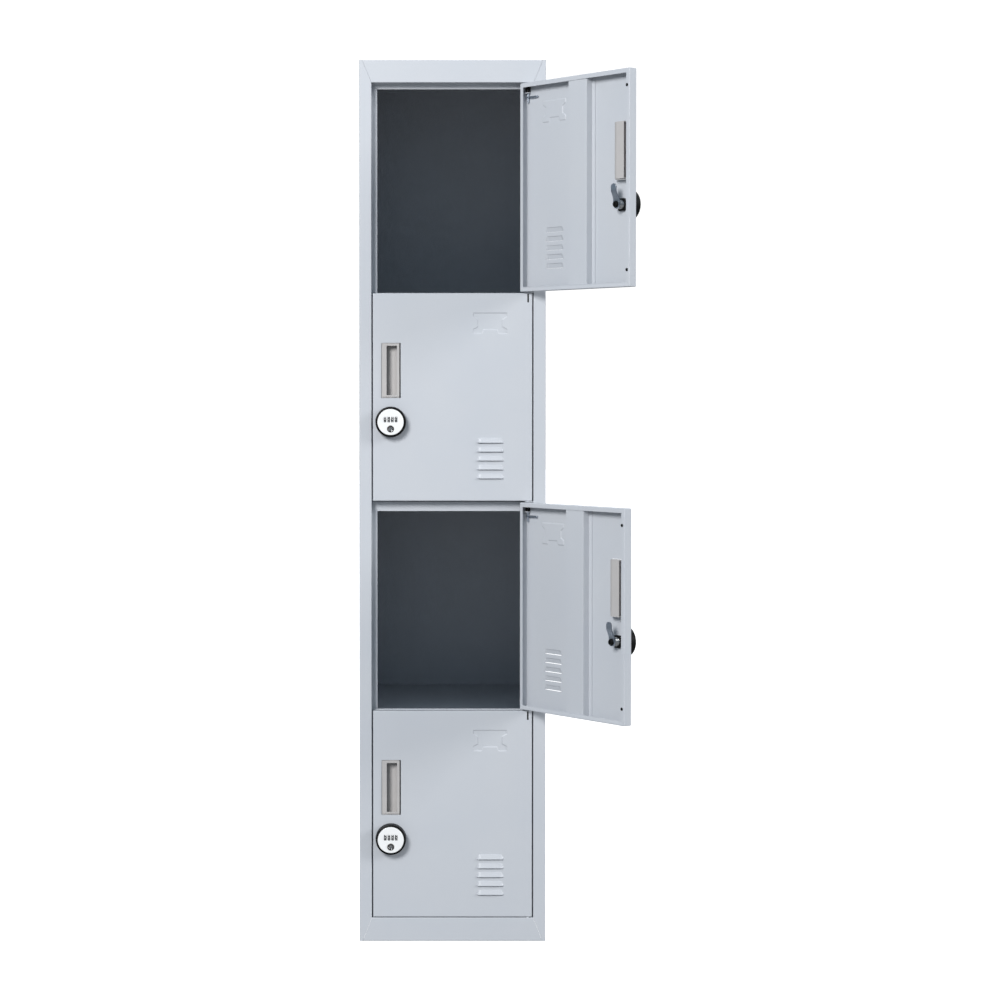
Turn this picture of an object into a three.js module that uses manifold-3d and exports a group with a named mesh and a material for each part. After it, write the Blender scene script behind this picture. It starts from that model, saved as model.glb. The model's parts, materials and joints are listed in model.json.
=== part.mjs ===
// Four-door single-column steel locker.
// Millimetres, X to the right, Y to the back, Z up.
// The origin is on the floor, at mid-width, in the plane of the front face.

import * as THREE from 'three';
import { mergeVertices } from 'three/addons/utils/BufferGeometryUtils.js';
import Module from 'manifold-3d';

const wasm = await Module();
wasm.setup();

// ---------------------------------------------------------------- driving dimensions

// Overall size.
const HEIGHT = 1800;
const WIDTH = 380;
const DEPTH = 450;

// Sheet steel.
const SHEET = 1.0;
const BEND_RADIUS = 0.6; // inside radius of every fold
const FIT_GAP = 0.3; // left between parts that touch
const FINE_OVERSHOOT = 1; // how far small cutting tools reach past what they cut

// Front frame.
const STILE_WIDTH = 25;
const TOP_RAIL_HEIGHT = 46;
const BOTTOM_RAIL_HEIGHT = 48;
const MITRE_INSET = 6; // the corner mitres start this far in from the outer edge
const REVEAL_DEPTH = 24; // from the front face to the back of the stop flange
const STOP_FLANGE_WIDTH = 11;
const RAIL_SIDE_CLEARANCE = 2; // the rails' sheet clears the stiles' faces by starting this far back

// Rear edges.
const REAR_RETURN_WIDTH = 20;
const REAR_LIP_HEIGHT = 8;
const BACK_SHEET_Y = 447.5;
const SEAM_FLANGE_HEIGHT = 20;
const SEAM_FLANGE_FRONT_Y = 30;

// Compartments.
const DOOR_COUNT = 4;
const OPENING_BOTTOM = BOTTOM_RAIL_HEIGHT;
const OPENING_TOP = HEIGHT - TOP_RAIL_HEIGHT;
const PITCH = (OPENING_TOP - OPENING_BOTTOM) / DOOR_COUNT;
const OPENING_HALF_WIDTH = WIDTH / 2 - STILE_WIDTH;
const SHELF_FLANGE_HEIGHT = 20;
const SHELF_FLANGE_Y = 21.7;
const SHELF_BACK_Y = 447;

// Slots through the back sheet, each with a bridge behind it for a strap to the wall.
const WALL_SLOT_X = 137;
const WALL_SLOT_Z = 1785;
const WALL_SLOT_WIDTH = 22;
const WALL_SLOT_HEIGHT = 4.5;
const WALL_SLOT_RADIUS = 2.2;
const BRIDGE_FRONT_Y = 448.8;
const BRIDGE_BACK_Y = 449.8;
const BRIDGE_MARGIN = 2; // how far the bridge reaches past the slot on every side

// Doors: folded pans, hung on pivots at the right.
const DOOR_WIDTH = 325;
const DOOR_HEIGHT = 423.2;
const DOOR_THICKNESS = 19;
const DOOR_LIP = 9; // lip width, measured from the door's outer edge
const DOOR_EDGE_BEVEL = 1.2;
const DOOR_EDGE_SHOULDER = 0.4; // a middle step that rounds the bevel
const DOOR_HALF_WIDTH = DOOR_WIDTH / 2;
const DOOR_GAP = (PITCH - DOOR_HEIGHT) / 2;
const OPEN_ANGLES = [128.8, 0, 126.8, 0]; // degrees each door stands open, from the top door down

// Pivots.
const PIVOT_X = 154;
const PIVOT_Y = 4.5;
const TAB_THICKNESS = 1.6;
const TAB_FRONT_Y = 0.8;
const TAB_BACK_Y = 20.5;
const TAB_LEFT_X = 147;
const TAB_CORNER_RADIUS = 4;
const PIVOT_HOLE_RADIUS = 2.45;
const COLLAR_RADIUS = 3.1;
const COLLAR_HEIGHT = 5;
const COLLAR_HOLE_RADIUS = 3.5; // in the door's bottom flange
const PIN_RADIUS = 2.2;
const PIN_SIDES = 8;
const PIN_RISE = 4; // above the compartment's top boundary
const PIN_TAIL = 41; // from that boundary down to the pin's lower end
const PIN_ARM_DROP = 30; // from that boundary down to the cross arm
const PIN_ARM_LEFT = 30; // the arm's reach towards the latch side of the door
const PIN_ARM_RIGHT = 5;
const PIN_ARM_RADIUS = 2;
const PIN_GUIDE_DROP = 20; // below the door's top edge
const PIN_GUIDE_LEFT_X = 149;
const PIN_GUIDE_BACK_Y = 9.5;

// Door stiffener: a hat section.
const STIFFENER_LEFT = -37;
const STIFFENER_RIGHT = 17;
const STIFFENER_FOOT = 9;
const STIFFENER_CREST_Y = 17.2;
const STIFFENER_FOOT_Y = 1.8;

// Louvres.
const LOUVRE_COUNT = 5;
const LOUVRE_PITCH = 18.2;
const LOUVRE_FIRST = 46; // above the door's bottom edge
const LOUVRE_X = 77;
const LOUVRE_HALF_WIDTH = 28;
const LOUVRE_TOP_HALF_WIDTH = 22.5;
const LOUVRE_HEIGHT = 10;
const LOUVRE_PROJECTION = 4;
const LOUVRE_CREST_HEIGHT_SHARE = 0.15; // the hood slopes back from this share of its height
const LOUVRE_LOWER_DRAFT = 3; // how far the hood's ends close in from the skin to its crest
const LOUVRE_UPPER_DRAFT = 2;
const LOUVRE_SHEET = 0.9; // the steel is drawn thinner there
const LOUVRE_MOUTH_DROP = 0.3; // the slot under a hood reaches this far below it

// Pressed label recess.
const LABEL_X = 77;
const LABEL_DROP = 61;
const LABEL_RECESS = 1.2;
const LABEL_OUTLINE = [
  [-34, 21], [34, 21], [34, 14], [25, 8], [25, -7], [34, -12], [34, -21], [17, -21],
  [14, -13], [-14, -13], [-17, -21], [-34, -21], [-34, -12], [-25, -7], [-25, 8], [-34, 14],
];

// Holes in the door's latch-side lip.
const BUFFER_HOLE_RADIUS = 1.8;
const BUFFER_HOLE_INSET = 33; // from the door's top and bottom edges
const BUFFER_HOLE_X = 6.5; // from the door's latch edge

// Recessed pull.
const PULL_X = -125.5;
const PULL_DROP = 157;
const PULL_HALF_WIDTH = 21.2;
const PULL_HALF_HEIGHT = 57.5;
const PULL_CORNER_RADIUS = 5;
const PULL_RIM_PROFILE = [[-2, 1.4], [-1.6, 0.5], [-0.9, 0], [-0.3, 0]]; // [y, inset] pairs
const PULL_BOX_HALF_WIDTH = 19;
const PULL_BOX_HALF_HEIGHT = 55.4;
const PULL_CAVITY_HALF_HEIGHT = 53.4;
// Sections across the pull, from its centre line: a box whose far side curves up to the face, and
// a cavity that runs behind the grip lip, round its turned-in edge, and out through the latch side.
const PULL_BOX_SECTION = [
  [-19, -1], [17, -1], [16.6, 5], [14.5, 10], [10.8, 13.6], [6, 16], [0, 17], [-19, 17],
];
const PULL_CAVITY_SECTION = [
  [-12, -4], [15.3, -4], [15.3, 3.5], [13.2, 9], [9.6, 12.2], [5.4, 14.3], [0, 15.6],
  [-21, 15.6], [-21, 3], [-13.5, 3], [-13.5, 11.5], [-12, 11.5],
];

// Combination cam lock. Distances in front of the door's face are negative Y.
const LOCK_X = -126;
const LOCK_DROP = 262;
const LOCK_SIDES = 20;
const SMALL_SIDES = 12; // sides of the bores and small round parts
const RING_RADIUS = 31;
const RING_FRONT_Y = -18.2;
const RING_RECESS_RADIUS = 27.1;
const RING_FLOOR_Y = -3;
const RING_INNER_CHAMFER = 0.6;
const RING_OUTER_PROFILE = [[1.2, 0], [0.4, 1]]; // [inset, distance behind the ring's front] pairs
const BARREL_RADIUS = 9;
const BARREL_HOLE_RADIUS = 9.4;
const BARREL_END_Y = 17.1;
const SPINDLE_RADIUS = 4;
const SPINDLE_BORE_RADIUS = 4.45;
const SPINDLE_END_Y = 21;
const KNOB_RADIUS = 26.5;
const KNOB_FRONT_Y = -19;
const KNOB_BACK_Y = -3.4;
const KNOB_EDGE_BEVEL = 0.8;
const NUT_ACROSS_CORNERS = 28;
const NUT_THICKNESS = 6;
const CAM_FRONT_Y = 17.5;
const CAM_THICKNESS = 2.5;
const CAM_LENGTH = 40;
const CAM_HALF_WIDTH = 7;
const CAM_HUB_RADIUS = 8.5;
const CAM_BORE_RADIUS = 4.4;
const CAM_ARC_STEPS = 6;
const CAM_CRANK_START = 8; // the lever bends back between these heights above the axis
const CAM_CRANK_END = 27;
const CAM_CRANK = 7.5; // so that its tip clears the stop flange behind the door

// Digit wheels and emergency key plug, inside the knob.
const WHEEL_COUNT = 4;
const WHEEL_FACETS = 10;
const WHEEL_RADIUS = 7.7;
const WHEEL_WIDTH = 4.2;
const WHEEL_PITCH = 7.5;
const WHEEL_RISE = 5; // row centre above the lock's axis
const WHEEL_AXIS_DEPTH = 6.2; // behind the knob's face
const WHEEL_POCKET_RADIUS = 8.4;
const WHEEL_POCKET_WIDTH = 4.8;
const PLUG_DROP = 14;
const PLUG_RADIUS = 6.5;
const PLUG_BORE_RADIUS = 7.1;
const PLUG_DEPTH = 11;
const PLUG_PROUD = 0.6;
const KEYWAY_HALF_WIDTH = 0.7;
const KEYWAY_HALF_HEIGHT = 3.6;
const KEYWAY_DEPTH = 5;

// Finishes.
const STEEL_PAINT = { color: 0xcdd1d7, roughness: 0.45, metalness: 0.1 };
const BEIGE_PLASTIC = { color: 0xc8c4be, roughness: 0.55, metalness: 0 };
const BLACK_PLASTIC = { color: 0x17181a, roughness: 0.4, metalness: 0 };
const WHITE_PLASTIC = { color: 0xf0f0ee, roughness: 0.35, metalness: 0 };
const ZINC = { color: 0x8f98a3, roughness: 0.35, metalness: 0.9 };
const CHROME = { color: 0xd6d8da, roughness: 0.15, metalness: 1 };

// ---------------------------------------------------------------- outlines

const point = (u, v) => new THREE.Vector2(u, v);
const outlineOf = (pairs) => pairs.map(([u, v]) => point(u, v));
const mirrored = (outline) => outline.map((p) => point(-p.x, p.y));
const moved = (outline, du, dv) => outline.map((p) => point(p.x + du, p.y + dv));

function rectangle(u0, u1, v0, v1) {
  return outlineOf([[u0, v0], [u1, v0], [u1, v1], [u0, v1]]);
}

function arc(u, v, radius, fromDegrees, toDegrees, steps) {
  const points = [];
  for (let i = 0; i <= steps; i += 1) {
    const angle = THREE.MathUtils.degToRad(fromDegrees + ((toDegrees - fromDegrees) * i) / steps);
    points.push(point(u + radius * Math.cos(angle), v + radius * Math.sin(angle)));
  }
  return points;
}

function circle(u, v, radius, sides) {
  return arc(u, v, radius, 0, 360, sides).slice(0, sides);
}

function roundedRectangle(u0, u1, v0, v1, radius, steps = 3) {
  return [
    ...arc(u1 - radius, v0 + radius, radius, -90, 0, steps),
    ...arc(u1 - radius, v1 - radius, radius, 0, 90, steps),
    ...arc(u0 + radius, v1 - radius, radius, 90, 180, steps),
    ...arc(u0 + radius, v0 + radius, radius, 180, 270, steps),
  ];
}

// Moves every edge of a closed outline outwards by a distance, keeping its corners sharp.
function grown(outline, distance) {
  const outwards = THREE.ShapeUtils.isClockWise(outline) ? -1 : 1;
  return outline.map((corner, i) => {
    const before = outline[(i + outline.length - 1) % outline.length];
    const after = outline[(i + 1) % outline.length];
    const inDirection = corner.clone().sub(before).normalize();
    const outDirection = after.clone().sub(corner).normalize();
    const inNormal = point(inDirection.y, -inDirection.x).multiplyScalar(outwards);
    const outNormal = point(outDirection.y, -outDirection.x).multiplyScalar(outwards);
    const reach = distance / (1 + inNormal.dot(outNormal));
    return corner.clone().add(inNormal.add(outNormal).multiplyScalar(reach));
  });
}

// The closed section of a folded sheet, from the path of its mid-line.
function foldedSheet(path, thickness = SHEET, insideRadius = BEND_RADIUS, steps = 2) {
  const half = thickness / 2;
  const radius = insideRadius + half;
  const stations = [];
  const line = outlineOf(path);
  line.forEach((corner, i) => {
    const before = line[i - 1];
    const after = line[i + 1];
    const inDirection = before && corner.clone().sub(before).normalize();
    const outDirection = after && after.clone().sub(corner).normalize();
    if (!before || !after) {
      const along = inDirection || outDirection;
      stations.push({ at: corner, normal: point(-along.y, along.x) });
      return;
    }
    const turn = Math.atan2(inDirection.cross(outDirection), inDirection.dot(outDirection));
    const setback = radius * Math.tan(Math.abs(turn) / 2);
    const side = Math.sign(turn);
    const startNormal = point(-inDirection.y, inDirection.x);
    const centre = corner.clone()
      .sub(inDirection.clone().multiplyScalar(setback))
      .add(startNormal.clone().multiplyScalar(side * radius));
    for (let step = 0; step <= steps; step += 1) {
      const normal = startNormal.clone().rotateAround(point(0, 0), (turn * step) / steps);
      const at = centre.clone().sub(normal.clone().multiplyScalar(side * radius));
      stations.push({ at, normal });
    }
  });
  const offset = (sign) => stations.map(({ at, normal }) => (
    at.clone().add(normal.clone().multiplyScalar(sign * half))
  ));
  return [...offset(1), ...offset(-1).reverse()];
}

// ---------------------------------------------------------------- solids

const PLACEMENTS = {
  x: (u, v, w) => [w, u, v], // outlines in Y and Z, stacked along X
  y: (u, v, w) => [u, w, v], // outlines in X and Z, stacked along Y
  z: (u, v, w) => [u, v, w], // outlines in X and Y, stacked along Z
};

// A closed solid through a row of matching outlines: [[position along the axis, outline], ...].
function stack(axis, levels) {
  const place = PLACEMENTS[axis];
  const clockwise = THREE.ShapeUtils.isClockWise(levels[0][1]);
  const rings = levels.map(([, outline]) => (clockwise ? [...outline].reverse() : outline));
  const count = rings[0].length;
  const positions = rings.flatMap((ring, level) => (
    ring.flatMap((p) => place(p.x, p.y, levels[level][0]))
  ));
  const indices = [];
  for (let level = 0; level < rings.length - 1; level += 1) {
    for (let i = 0; i < count; i += 1) {
      const a = level * count + i;
      const b = level * count + ((i + 1) % count);
      indices.push(a, b, b + count, a, b + count, a + count);
    }
  }
  const lastStart = (rings.length - 1) * count;
  THREE.ShapeUtils.triangulateShape([...rings[0]], []).forEach(([a, b, c]) => {
    indices.push(c, b, a);
  });
  THREE.ShapeUtils.triangulateShape([...rings[rings.length - 1]], []).forEach(([a, b, c]) => {
    indices.push(lastStart + a, lastStart + b, lastStart + c);
  });
  const geometry = new THREE.BufferGeometry();
  geometry.setAttribute('position', new THREE.Float32BufferAttribute(positions, 3));
  geometry.setIndex(indices);
  return volumeOf(geometry) < 0 ? insideOut(geometry) : geometry;
}

function volumeOf(geometry) {
  const { position } = geometry.attributes;
  const index = geometry.index.array;
  const corner = (i) => new THREE.Vector3().fromBufferAttribute(position, index[i]);
  let total = 0;
  for (let i = 0; i < index.length; i += 3) {
    total += corner(i).dot(corner(i + 1).cross(corner(i + 2))) / 6;
  }
  return total;
}

function insideOut(geometry) {
  const index = Array.from(geometry.index.array);
  for (let i = 0; i < index.length; i += 3) {
    [index[i], index[i + 1]] = [index[i + 1], index[i]];
  }
  geometry.setIndex(index);
  return geometry;
}

const prism = (axis, outline, from, to) => stack(axis, [[from, outline], [to, outline]]);
const box = (x0, x1, y0, y1, z0, z1) => prism('z', rectangle(x0, x1, y0, y1), z0, z1);

// A solid turned about the Y axis, from [radius, y] pairs that close up or end on the axis.
function turned(profile, sides) {
  const lathe = new THREE.LatheGeometry(outlineOf(profile), sides);
  return volumeOf(lathe) < 0 ? insideOut(lathe) : lathe;
}

function toManifold(geometry) {
  const bare = geometry.clone();
  bare.deleteAttribute('normal');
  bare.deleteAttribute('uv');
  const merged = mergeVertices(bare, 1e-4);
  const mesh = new wasm.Mesh({
    numProp: 3,
    vertProperties: Float32Array.from(merged.attributes.position.array),
    triVerts: Uint32Array.from(merged.index.array),
  });
  return new wasm.Manifold(mesh);
}

function toGeometry(solid) {
  const { vertProperties, triVerts } = solid.getMesh();
  const geometry = new THREE.BufferGeometry();
  geometry.setAttribute('position', new THREE.Float32BufferAttribute(vertProperties, 3));
  geometry.setIndex(Array.from(triVerts));
  return geometry;
}

function join(...geometries) {
  return toGeometry(geometries.map(toManifold).reduce((whole, next) => whole.add(next)));
}

function cut(geometry, ...tools) {
  const start = toManifold(geometry);
  return toGeometry(tools.map(toManifold).reduce((rest, tool) => rest.subtract(tool), start));
}

function keep(geometry, region) {
  return toGeometry(toManifold(geometry).intersect(toManifold(region)));
}

// ---------------------------------------------------------------- carcass

const halfWidth = WIDTH / 2;
const mid = SHEET / 2;
const innerWall = halfWidth - SHEET;
const stopEdge = OPENING_HALF_WIDTH - STOP_FLANGE_WIDTH;
const mitreTop = halfWidth - MITRE_INSET;
const beyond = 10; // how far large cutting tools overshoot

const boundaries = Array.from({ length: DOOR_COUNT + 1 }, (_, i) => OPENING_TOP - i * PITCH);

// The regions of the front that belong to the top and bottom rails, between the mitred stiles.
const topRailRegion = outlineOf([
  [-stopEdge, OPENING_TOP - STOP_FLANGE_WIDTH], [stopEdge, OPENING_TOP - STOP_FLANGE_WIDTH],
  [OPENING_HALF_WIDTH, OPENING_TOP], [mitreTop, HEIGHT], [mitreTop, HEIGHT + beyond],
  [-mitreTop, HEIGHT + beyond], [-mitreTop, HEIGHT], [-OPENING_HALF_WIDTH, OPENING_TOP],
]);
const bottomRailRegion = outlineOf([
  [-mitreTop, -beyond], [mitreTop, -beyond], [mitreTop, 0],
  [OPENING_HALF_WIDTH, OPENING_BOTTOM], [OPENING_HALF_WIDTH, OPENING_BOTTOM + FINE_OVERSHOOT],
  [-OPENING_HALF_WIDTH, OPENING_BOTTOM + FINE_OVERSHOOT], [-OPENING_HALF_WIDTH, OPENING_BOTTOM],
  [-mitreTop, 0],
]);

function sidePanel(handed) {
  const rightSection = foldedSheet([
    [stopEdge, REVEAL_DEPTH - mid],
    [OPENING_HALF_WIDTH + mid, REVEAL_DEPTH - mid],
    [OPENING_HALF_WIDTH + mid, mid],
    [halfWidth - mid, mid],
    [halfWidth - mid, DEPTH - mid],
    [halfWidth - REAR_RETURN_WIDTH, DEPTH - mid],
  ]);
  const onSide = (outline) => (handed > 0 ? outline : mirrored(outline));
  const floorGap = onSide(rectangle(
    stopEdge - beyond,
    OPENING_HALF_WIDTH + SHEET + FIT_GAP,
    SHEET,
    REVEAL_DEPTH + FINE_OVERSHOOT,
  ));
  return cut(
    prism('z', onSide(rightSection), 0, HEIGHT),
    prism('y', grown(topRailRegion, FIT_GAP / 2), -beyond, REVEAL_DEPTH + FINE_OVERSHOOT),
    prism('y', grown(bottomRailRegion, FIT_GAP / 2), -beyond, RAIL_SIDE_CLEARANCE),
    prism('z', floorGap, -beyond, OPENING_BOTTOM + FIT_GAP),
  );
}

// A level tab with an upward collar: the door above turns on the collar, and the pin of the door
// below slides up into its hole.
function hingeTab(boundary) {
  const bottom = boundary - TAB_THICKNESS / 2;
  const cornerX = TAB_LEFT_X + TAB_CORNER_RADIUS;
  const outline = [
    point(OPENING_HALF_WIDTH + mid, TAB_FRONT_Y),
    point(OPENING_HALF_WIDTH + mid, TAB_BACK_Y),
    ...arc(cornerX, TAB_BACK_Y - TAB_CORNER_RADIUS, TAB_CORNER_RADIUS, 90, 180, 2),
    ...arc(cornerX, TAB_FRONT_Y + TAB_CORNER_RADIUS, TAB_CORNER_RADIUS, 180, 270, 2),
  ];
  return [
    prism('z', outline, bottom, bottom + TAB_THICKNESS),
    prism('z', circle(PIVOT_X, PIVOT_Y, COLLAR_RADIUS, SMALL_SIDES), bottom, boundary + COLLAR_HEIGHT),
  ];
}

function pivotHole(from, to, radius = PIVOT_HOLE_RADIUS) {
  return prism('z', circle(PIVOT_X, PIVOT_Y, radius, SMALL_SIDES), from, to);
}

function rightSidePanel() {
  const inner = boundaries.slice(1, -1);
  const joined = join(sidePanel(1), ...inner.flatMap(hingeTab));
  return cut(joined, ...inner.map((z) => pivotHole(z - beyond, z + beyond)));
}

const seamEdge = innerWall - FIT_GAP; // side edge of the sheets inside the side walls

function seamFlange(side, y0, y1, z0, z1) {
  const outer = side * seamEdge;
  const inner = side * (seamEdge - SHEET);
  return box(Math.min(outer, inner), Math.max(outer, inner), y0, y1, z0, z1);
}

function topPanel() {
  const section = foldedSheet([
    [DEPTH - mid, HEIGHT - REAR_LIP_HEIGHT],
    [DEPTH - mid, HEIGHT - mid],
    [mid, HEIGHT - mid],
    [mid, OPENING_TOP + mid],
    [REVEAL_DEPTH - mid, OPENING_TOP + mid],
    [REVEAL_DEPTH - mid, OPENING_TOP - STOP_FLANGE_WIDTH],
  ]);
  const folded = prism('x', section, -seamEdge, seamEdge);
  const front = keep(
    folded,
    prism('y', grown(topRailRegion, -FIT_GAP / 2), -beyond, REVEAL_DEPTH + FINE_OVERSHOOT),
  );
  const rear = keep(
    folded,
    box(-halfWidth, halfWidth, RAIL_SIDE_CLEARANCE, DEPTH, HEIGHT - 2 * beyond, HEIGHT + beyond),
  );
  const flanges = [-1, 1].map((side) => seamFlange(
    side, SEAM_FLANGE_FRONT_Y, DEPTH - beyond, HEIGHT - SEAM_FLANGE_HEIGHT, HEIGHT - mid,
  ));
  const returnNotch = rectangle(
    halfWidth - REAR_RETURN_WIDTH - FIT_GAP, halfWidth, DEPTH - SHEET - FIT_GAP, DEPTH + FINE_OVERSHOOT,
  );
  const notches = [returnNotch, mirrored(returnNotch)];
  return cut(
    join(front, rear, ...flanges),
    ...notches.map((notch) => prism('z', notch, HEIGHT - 2 * beyond, HEIGHT + FINE_OVERSHOOT)),
    pivotHole(OPENING_TOP - FINE_OVERSHOOT, OPENING_TOP + beyond),
  );
}

function bottomPanel() {
  const section = foldedSheet([
    [SHELF_BACK_Y - mid, OPENING_BOTTOM - SEAM_FLANGE_HEIGHT],
    [SHELF_BACK_Y - mid, OPENING_BOTTOM - mid],
    [mid, OPENING_BOTTOM - mid],
    [mid, mid],
    [REAR_RETURN_WIDTH, mid],
  ]);
  const folded = prism('x', section, -seamEdge, seamEdge);
  const front = keep(
    folded,
    prism('y', grown(bottomRailRegion, -FIT_GAP / 2), -beyond, RAIL_SIDE_CLEARANCE + FINE_OVERSHOOT),
  );
  const rear = keep(
    folded,
    box(-halfWidth, halfWidth, RAIL_SIDE_CLEARANCE + mid, DEPTH, -beyond, OPENING_BOTTOM + FINE_OVERSHOOT),
  );
  const flanges = [-1, 1].map((side) => seamFlange(
    side,
    SEAM_FLANGE_FRONT_Y,
    SHELF_BACK_Y - beyond,
    OPENING_BOTTOM - SEAM_FLANGE_HEIGHT,
    OPENING_BOTTOM - mid,
  ));
  const collar = prism(
    'z',
    circle(PIVOT_X, PIVOT_Y, COLLAR_RADIUS, SMALL_SIDES),
    OPENING_BOTTOM - mid,
    OPENING_BOTTOM + COLLAR_HEIGHT,
  );
  return cut(
    join(front, rear, ...flanges, collar),
    pivotHole(OPENING_BOTTOM - 2, OPENING_BOTTOM + beyond),
  );
}

function shelf(boundary) {
  const section = foldedSheet([
    [SHELF_BACK_Y - mid, boundary - SHELF_FLANGE_HEIGHT],
    [SHELF_BACK_Y - mid, boundary - mid],
    [SHELF_FLANGE_Y + mid, boundary - mid],
    [SHELF_FLANGE_Y + mid, boundary - SHELF_FLANGE_HEIGHT],
  ]);
  const flangeBack = SHELF_FLANGE_Y + SHEET;
  const frontHalf = OPENING_HALF_WIDTH - FIT_GAP;
  const notchHalf = stopEdge - FIT_GAP;
  const notchBack = REVEAL_DEPTH + FIT_GAP;
  const rightHalf = [
    [frontHalf, 0], [frontHalf, flangeBack], [notchHalf, flangeBack],
    [notchHalf, notchBack], [seamEdge, notchBack], [seamEdge, DEPTH],
  ];
  const leftHalf = rightHalf.map(([x, y]) => [-x, y]).reverse();
  const plan = outlineOf([...rightHalf, ...leftHalf]);
  const folded = keep(
    prism('x', section, -seamEdge, seamEdge),
    prism('z', plan, boundary - SHELF_FLANGE_HEIGHT - FINE_OVERSHOOT, boundary + FINE_OVERSHOOT),
  );
  const flanges = [-1, 1].map((side) => seamFlange(
    side, SEAM_FLANGE_FRONT_Y, SHELF_BACK_Y - beyond, boundary - SHELF_FLANGE_HEIGHT, boundary - mid,
  ));
  return join(folded, ...flanges);
}

function backPanel() {
  const sheet = box(
    -seamEdge,
    seamEdge,
    BACK_SHEET_Y,
    BACK_SHEET_Y + SHEET,
    SHEET,
    HEIGHT - SHEET - FIT_GAP,
  );
  const slots = [-1, 1].map((side) => prism('y', roundedRectangle(
    side * WALL_SLOT_X - WALL_SLOT_WIDTH / 2,
    side * WALL_SLOT_X + WALL_SLOT_WIDTH / 2,
    WALL_SLOT_Z - WALL_SLOT_HEIGHT / 2,
    WALL_SLOT_Z + WALL_SLOT_HEIGHT / 2,
    WALL_SLOT_RADIUS,
    2,
  ), BACK_SHEET_Y - FINE_OVERSHOOT, BACK_SHEET_Y + SHEET + FINE_OVERSHOOT));
  const bridges = [-1, 1].flatMap((side) => {
    const outer = WALL_SLOT_WIDTH / 2 + BRIDGE_MARGIN;
    const low = WALL_SLOT_Z - WALL_SLOT_HEIGHT / 2 - BRIDGE_MARGIN;
    const high = WALL_SLOT_Z + WALL_SLOT_HEIGHT / 2 + BRIDGE_MARGIN;
    const x = side * WALL_SLOT_X;
    return [
      box(x - outer, x + outer, BRIDGE_FRONT_Y, BRIDGE_BACK_Y, low, high),
      box(x - outer, x - outer + BRIDGE_MARGIN, BACK_SHEET_Y + mid, BRIDGE_BACK_Y, low, high),
      box(x + outer - BRIDGE_MARGIN, x + outer, BACK_SHEET_Y + mid, BRIDGE_BACK_Y, low, high),
    ];
  });
  return join(cut(sheet, ...slots), ...bridges);
}

// ---------------------------------------------------------------- door, as it stands when closed

function louvreSolid(bottom, wall, back) {
  const height = LOUVRE_HEIGHT - wall;
  const projection = LOUVRE_PROJECTION - wall;
  const ring = (projected, raised) => {
    const low = LOUVRE_HALF_WIDTH - wall - LOUVRE_LOWER_DRAFT * projected;
    const high = LOUVRE_HALF_WIDTH - wall
      - (LOUVRE_HALF_WIDTH - LOUVRE_TOP_HALF_WIDTH) * raised - LOUVRE_UPPER_DRAFT * projected;
    const top = bottom + height * raised;
    return outlineOf([
      [LOUVRE_X - low, bottom], [LOUVRE_X + low, bottom],
      [LOUVRE_X + high, top], [LOUVRE_X - high, top],
    ]);
  };
  return stack('y', [
    [back, ring(0, 1)],
    [0, ring(0, 1)],
    [-projection, ring(1, LOUVRE_CREST_HEIGHT_SHARE)],
  ]);
}

function doorPan(bottom, top) {
  const face = (inset) => rectangle(
    -DOOR_HALF_WIDTH + inset, DOOR_HALF_WIDTH - inset, bottom + inset, top - inset,
  );
  const outer = stack('y', [
    [0, face(DOOR_EDGE_BEVEL)],
    [DOOR_EDGE_SHOULDER, face(DOOR_EDGE_SHOULDER)],
    [DOOR_EDGE_BEVEL, face(0)],
    [DOOR_THICKNESS, face(0)],
  ]);
  const hollow = prism('y', face(SHEET), SHEET, DOOR_THICKNESS - SHEET);
  const mouth = prism('y', face(DOOR_LIP), DOOR_THICKNESS - 2 * SHEET, DOOR_THICKNESS + FINE_OVERSHOOT);
  return cut(outer, hollow, mouth);
}

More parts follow.
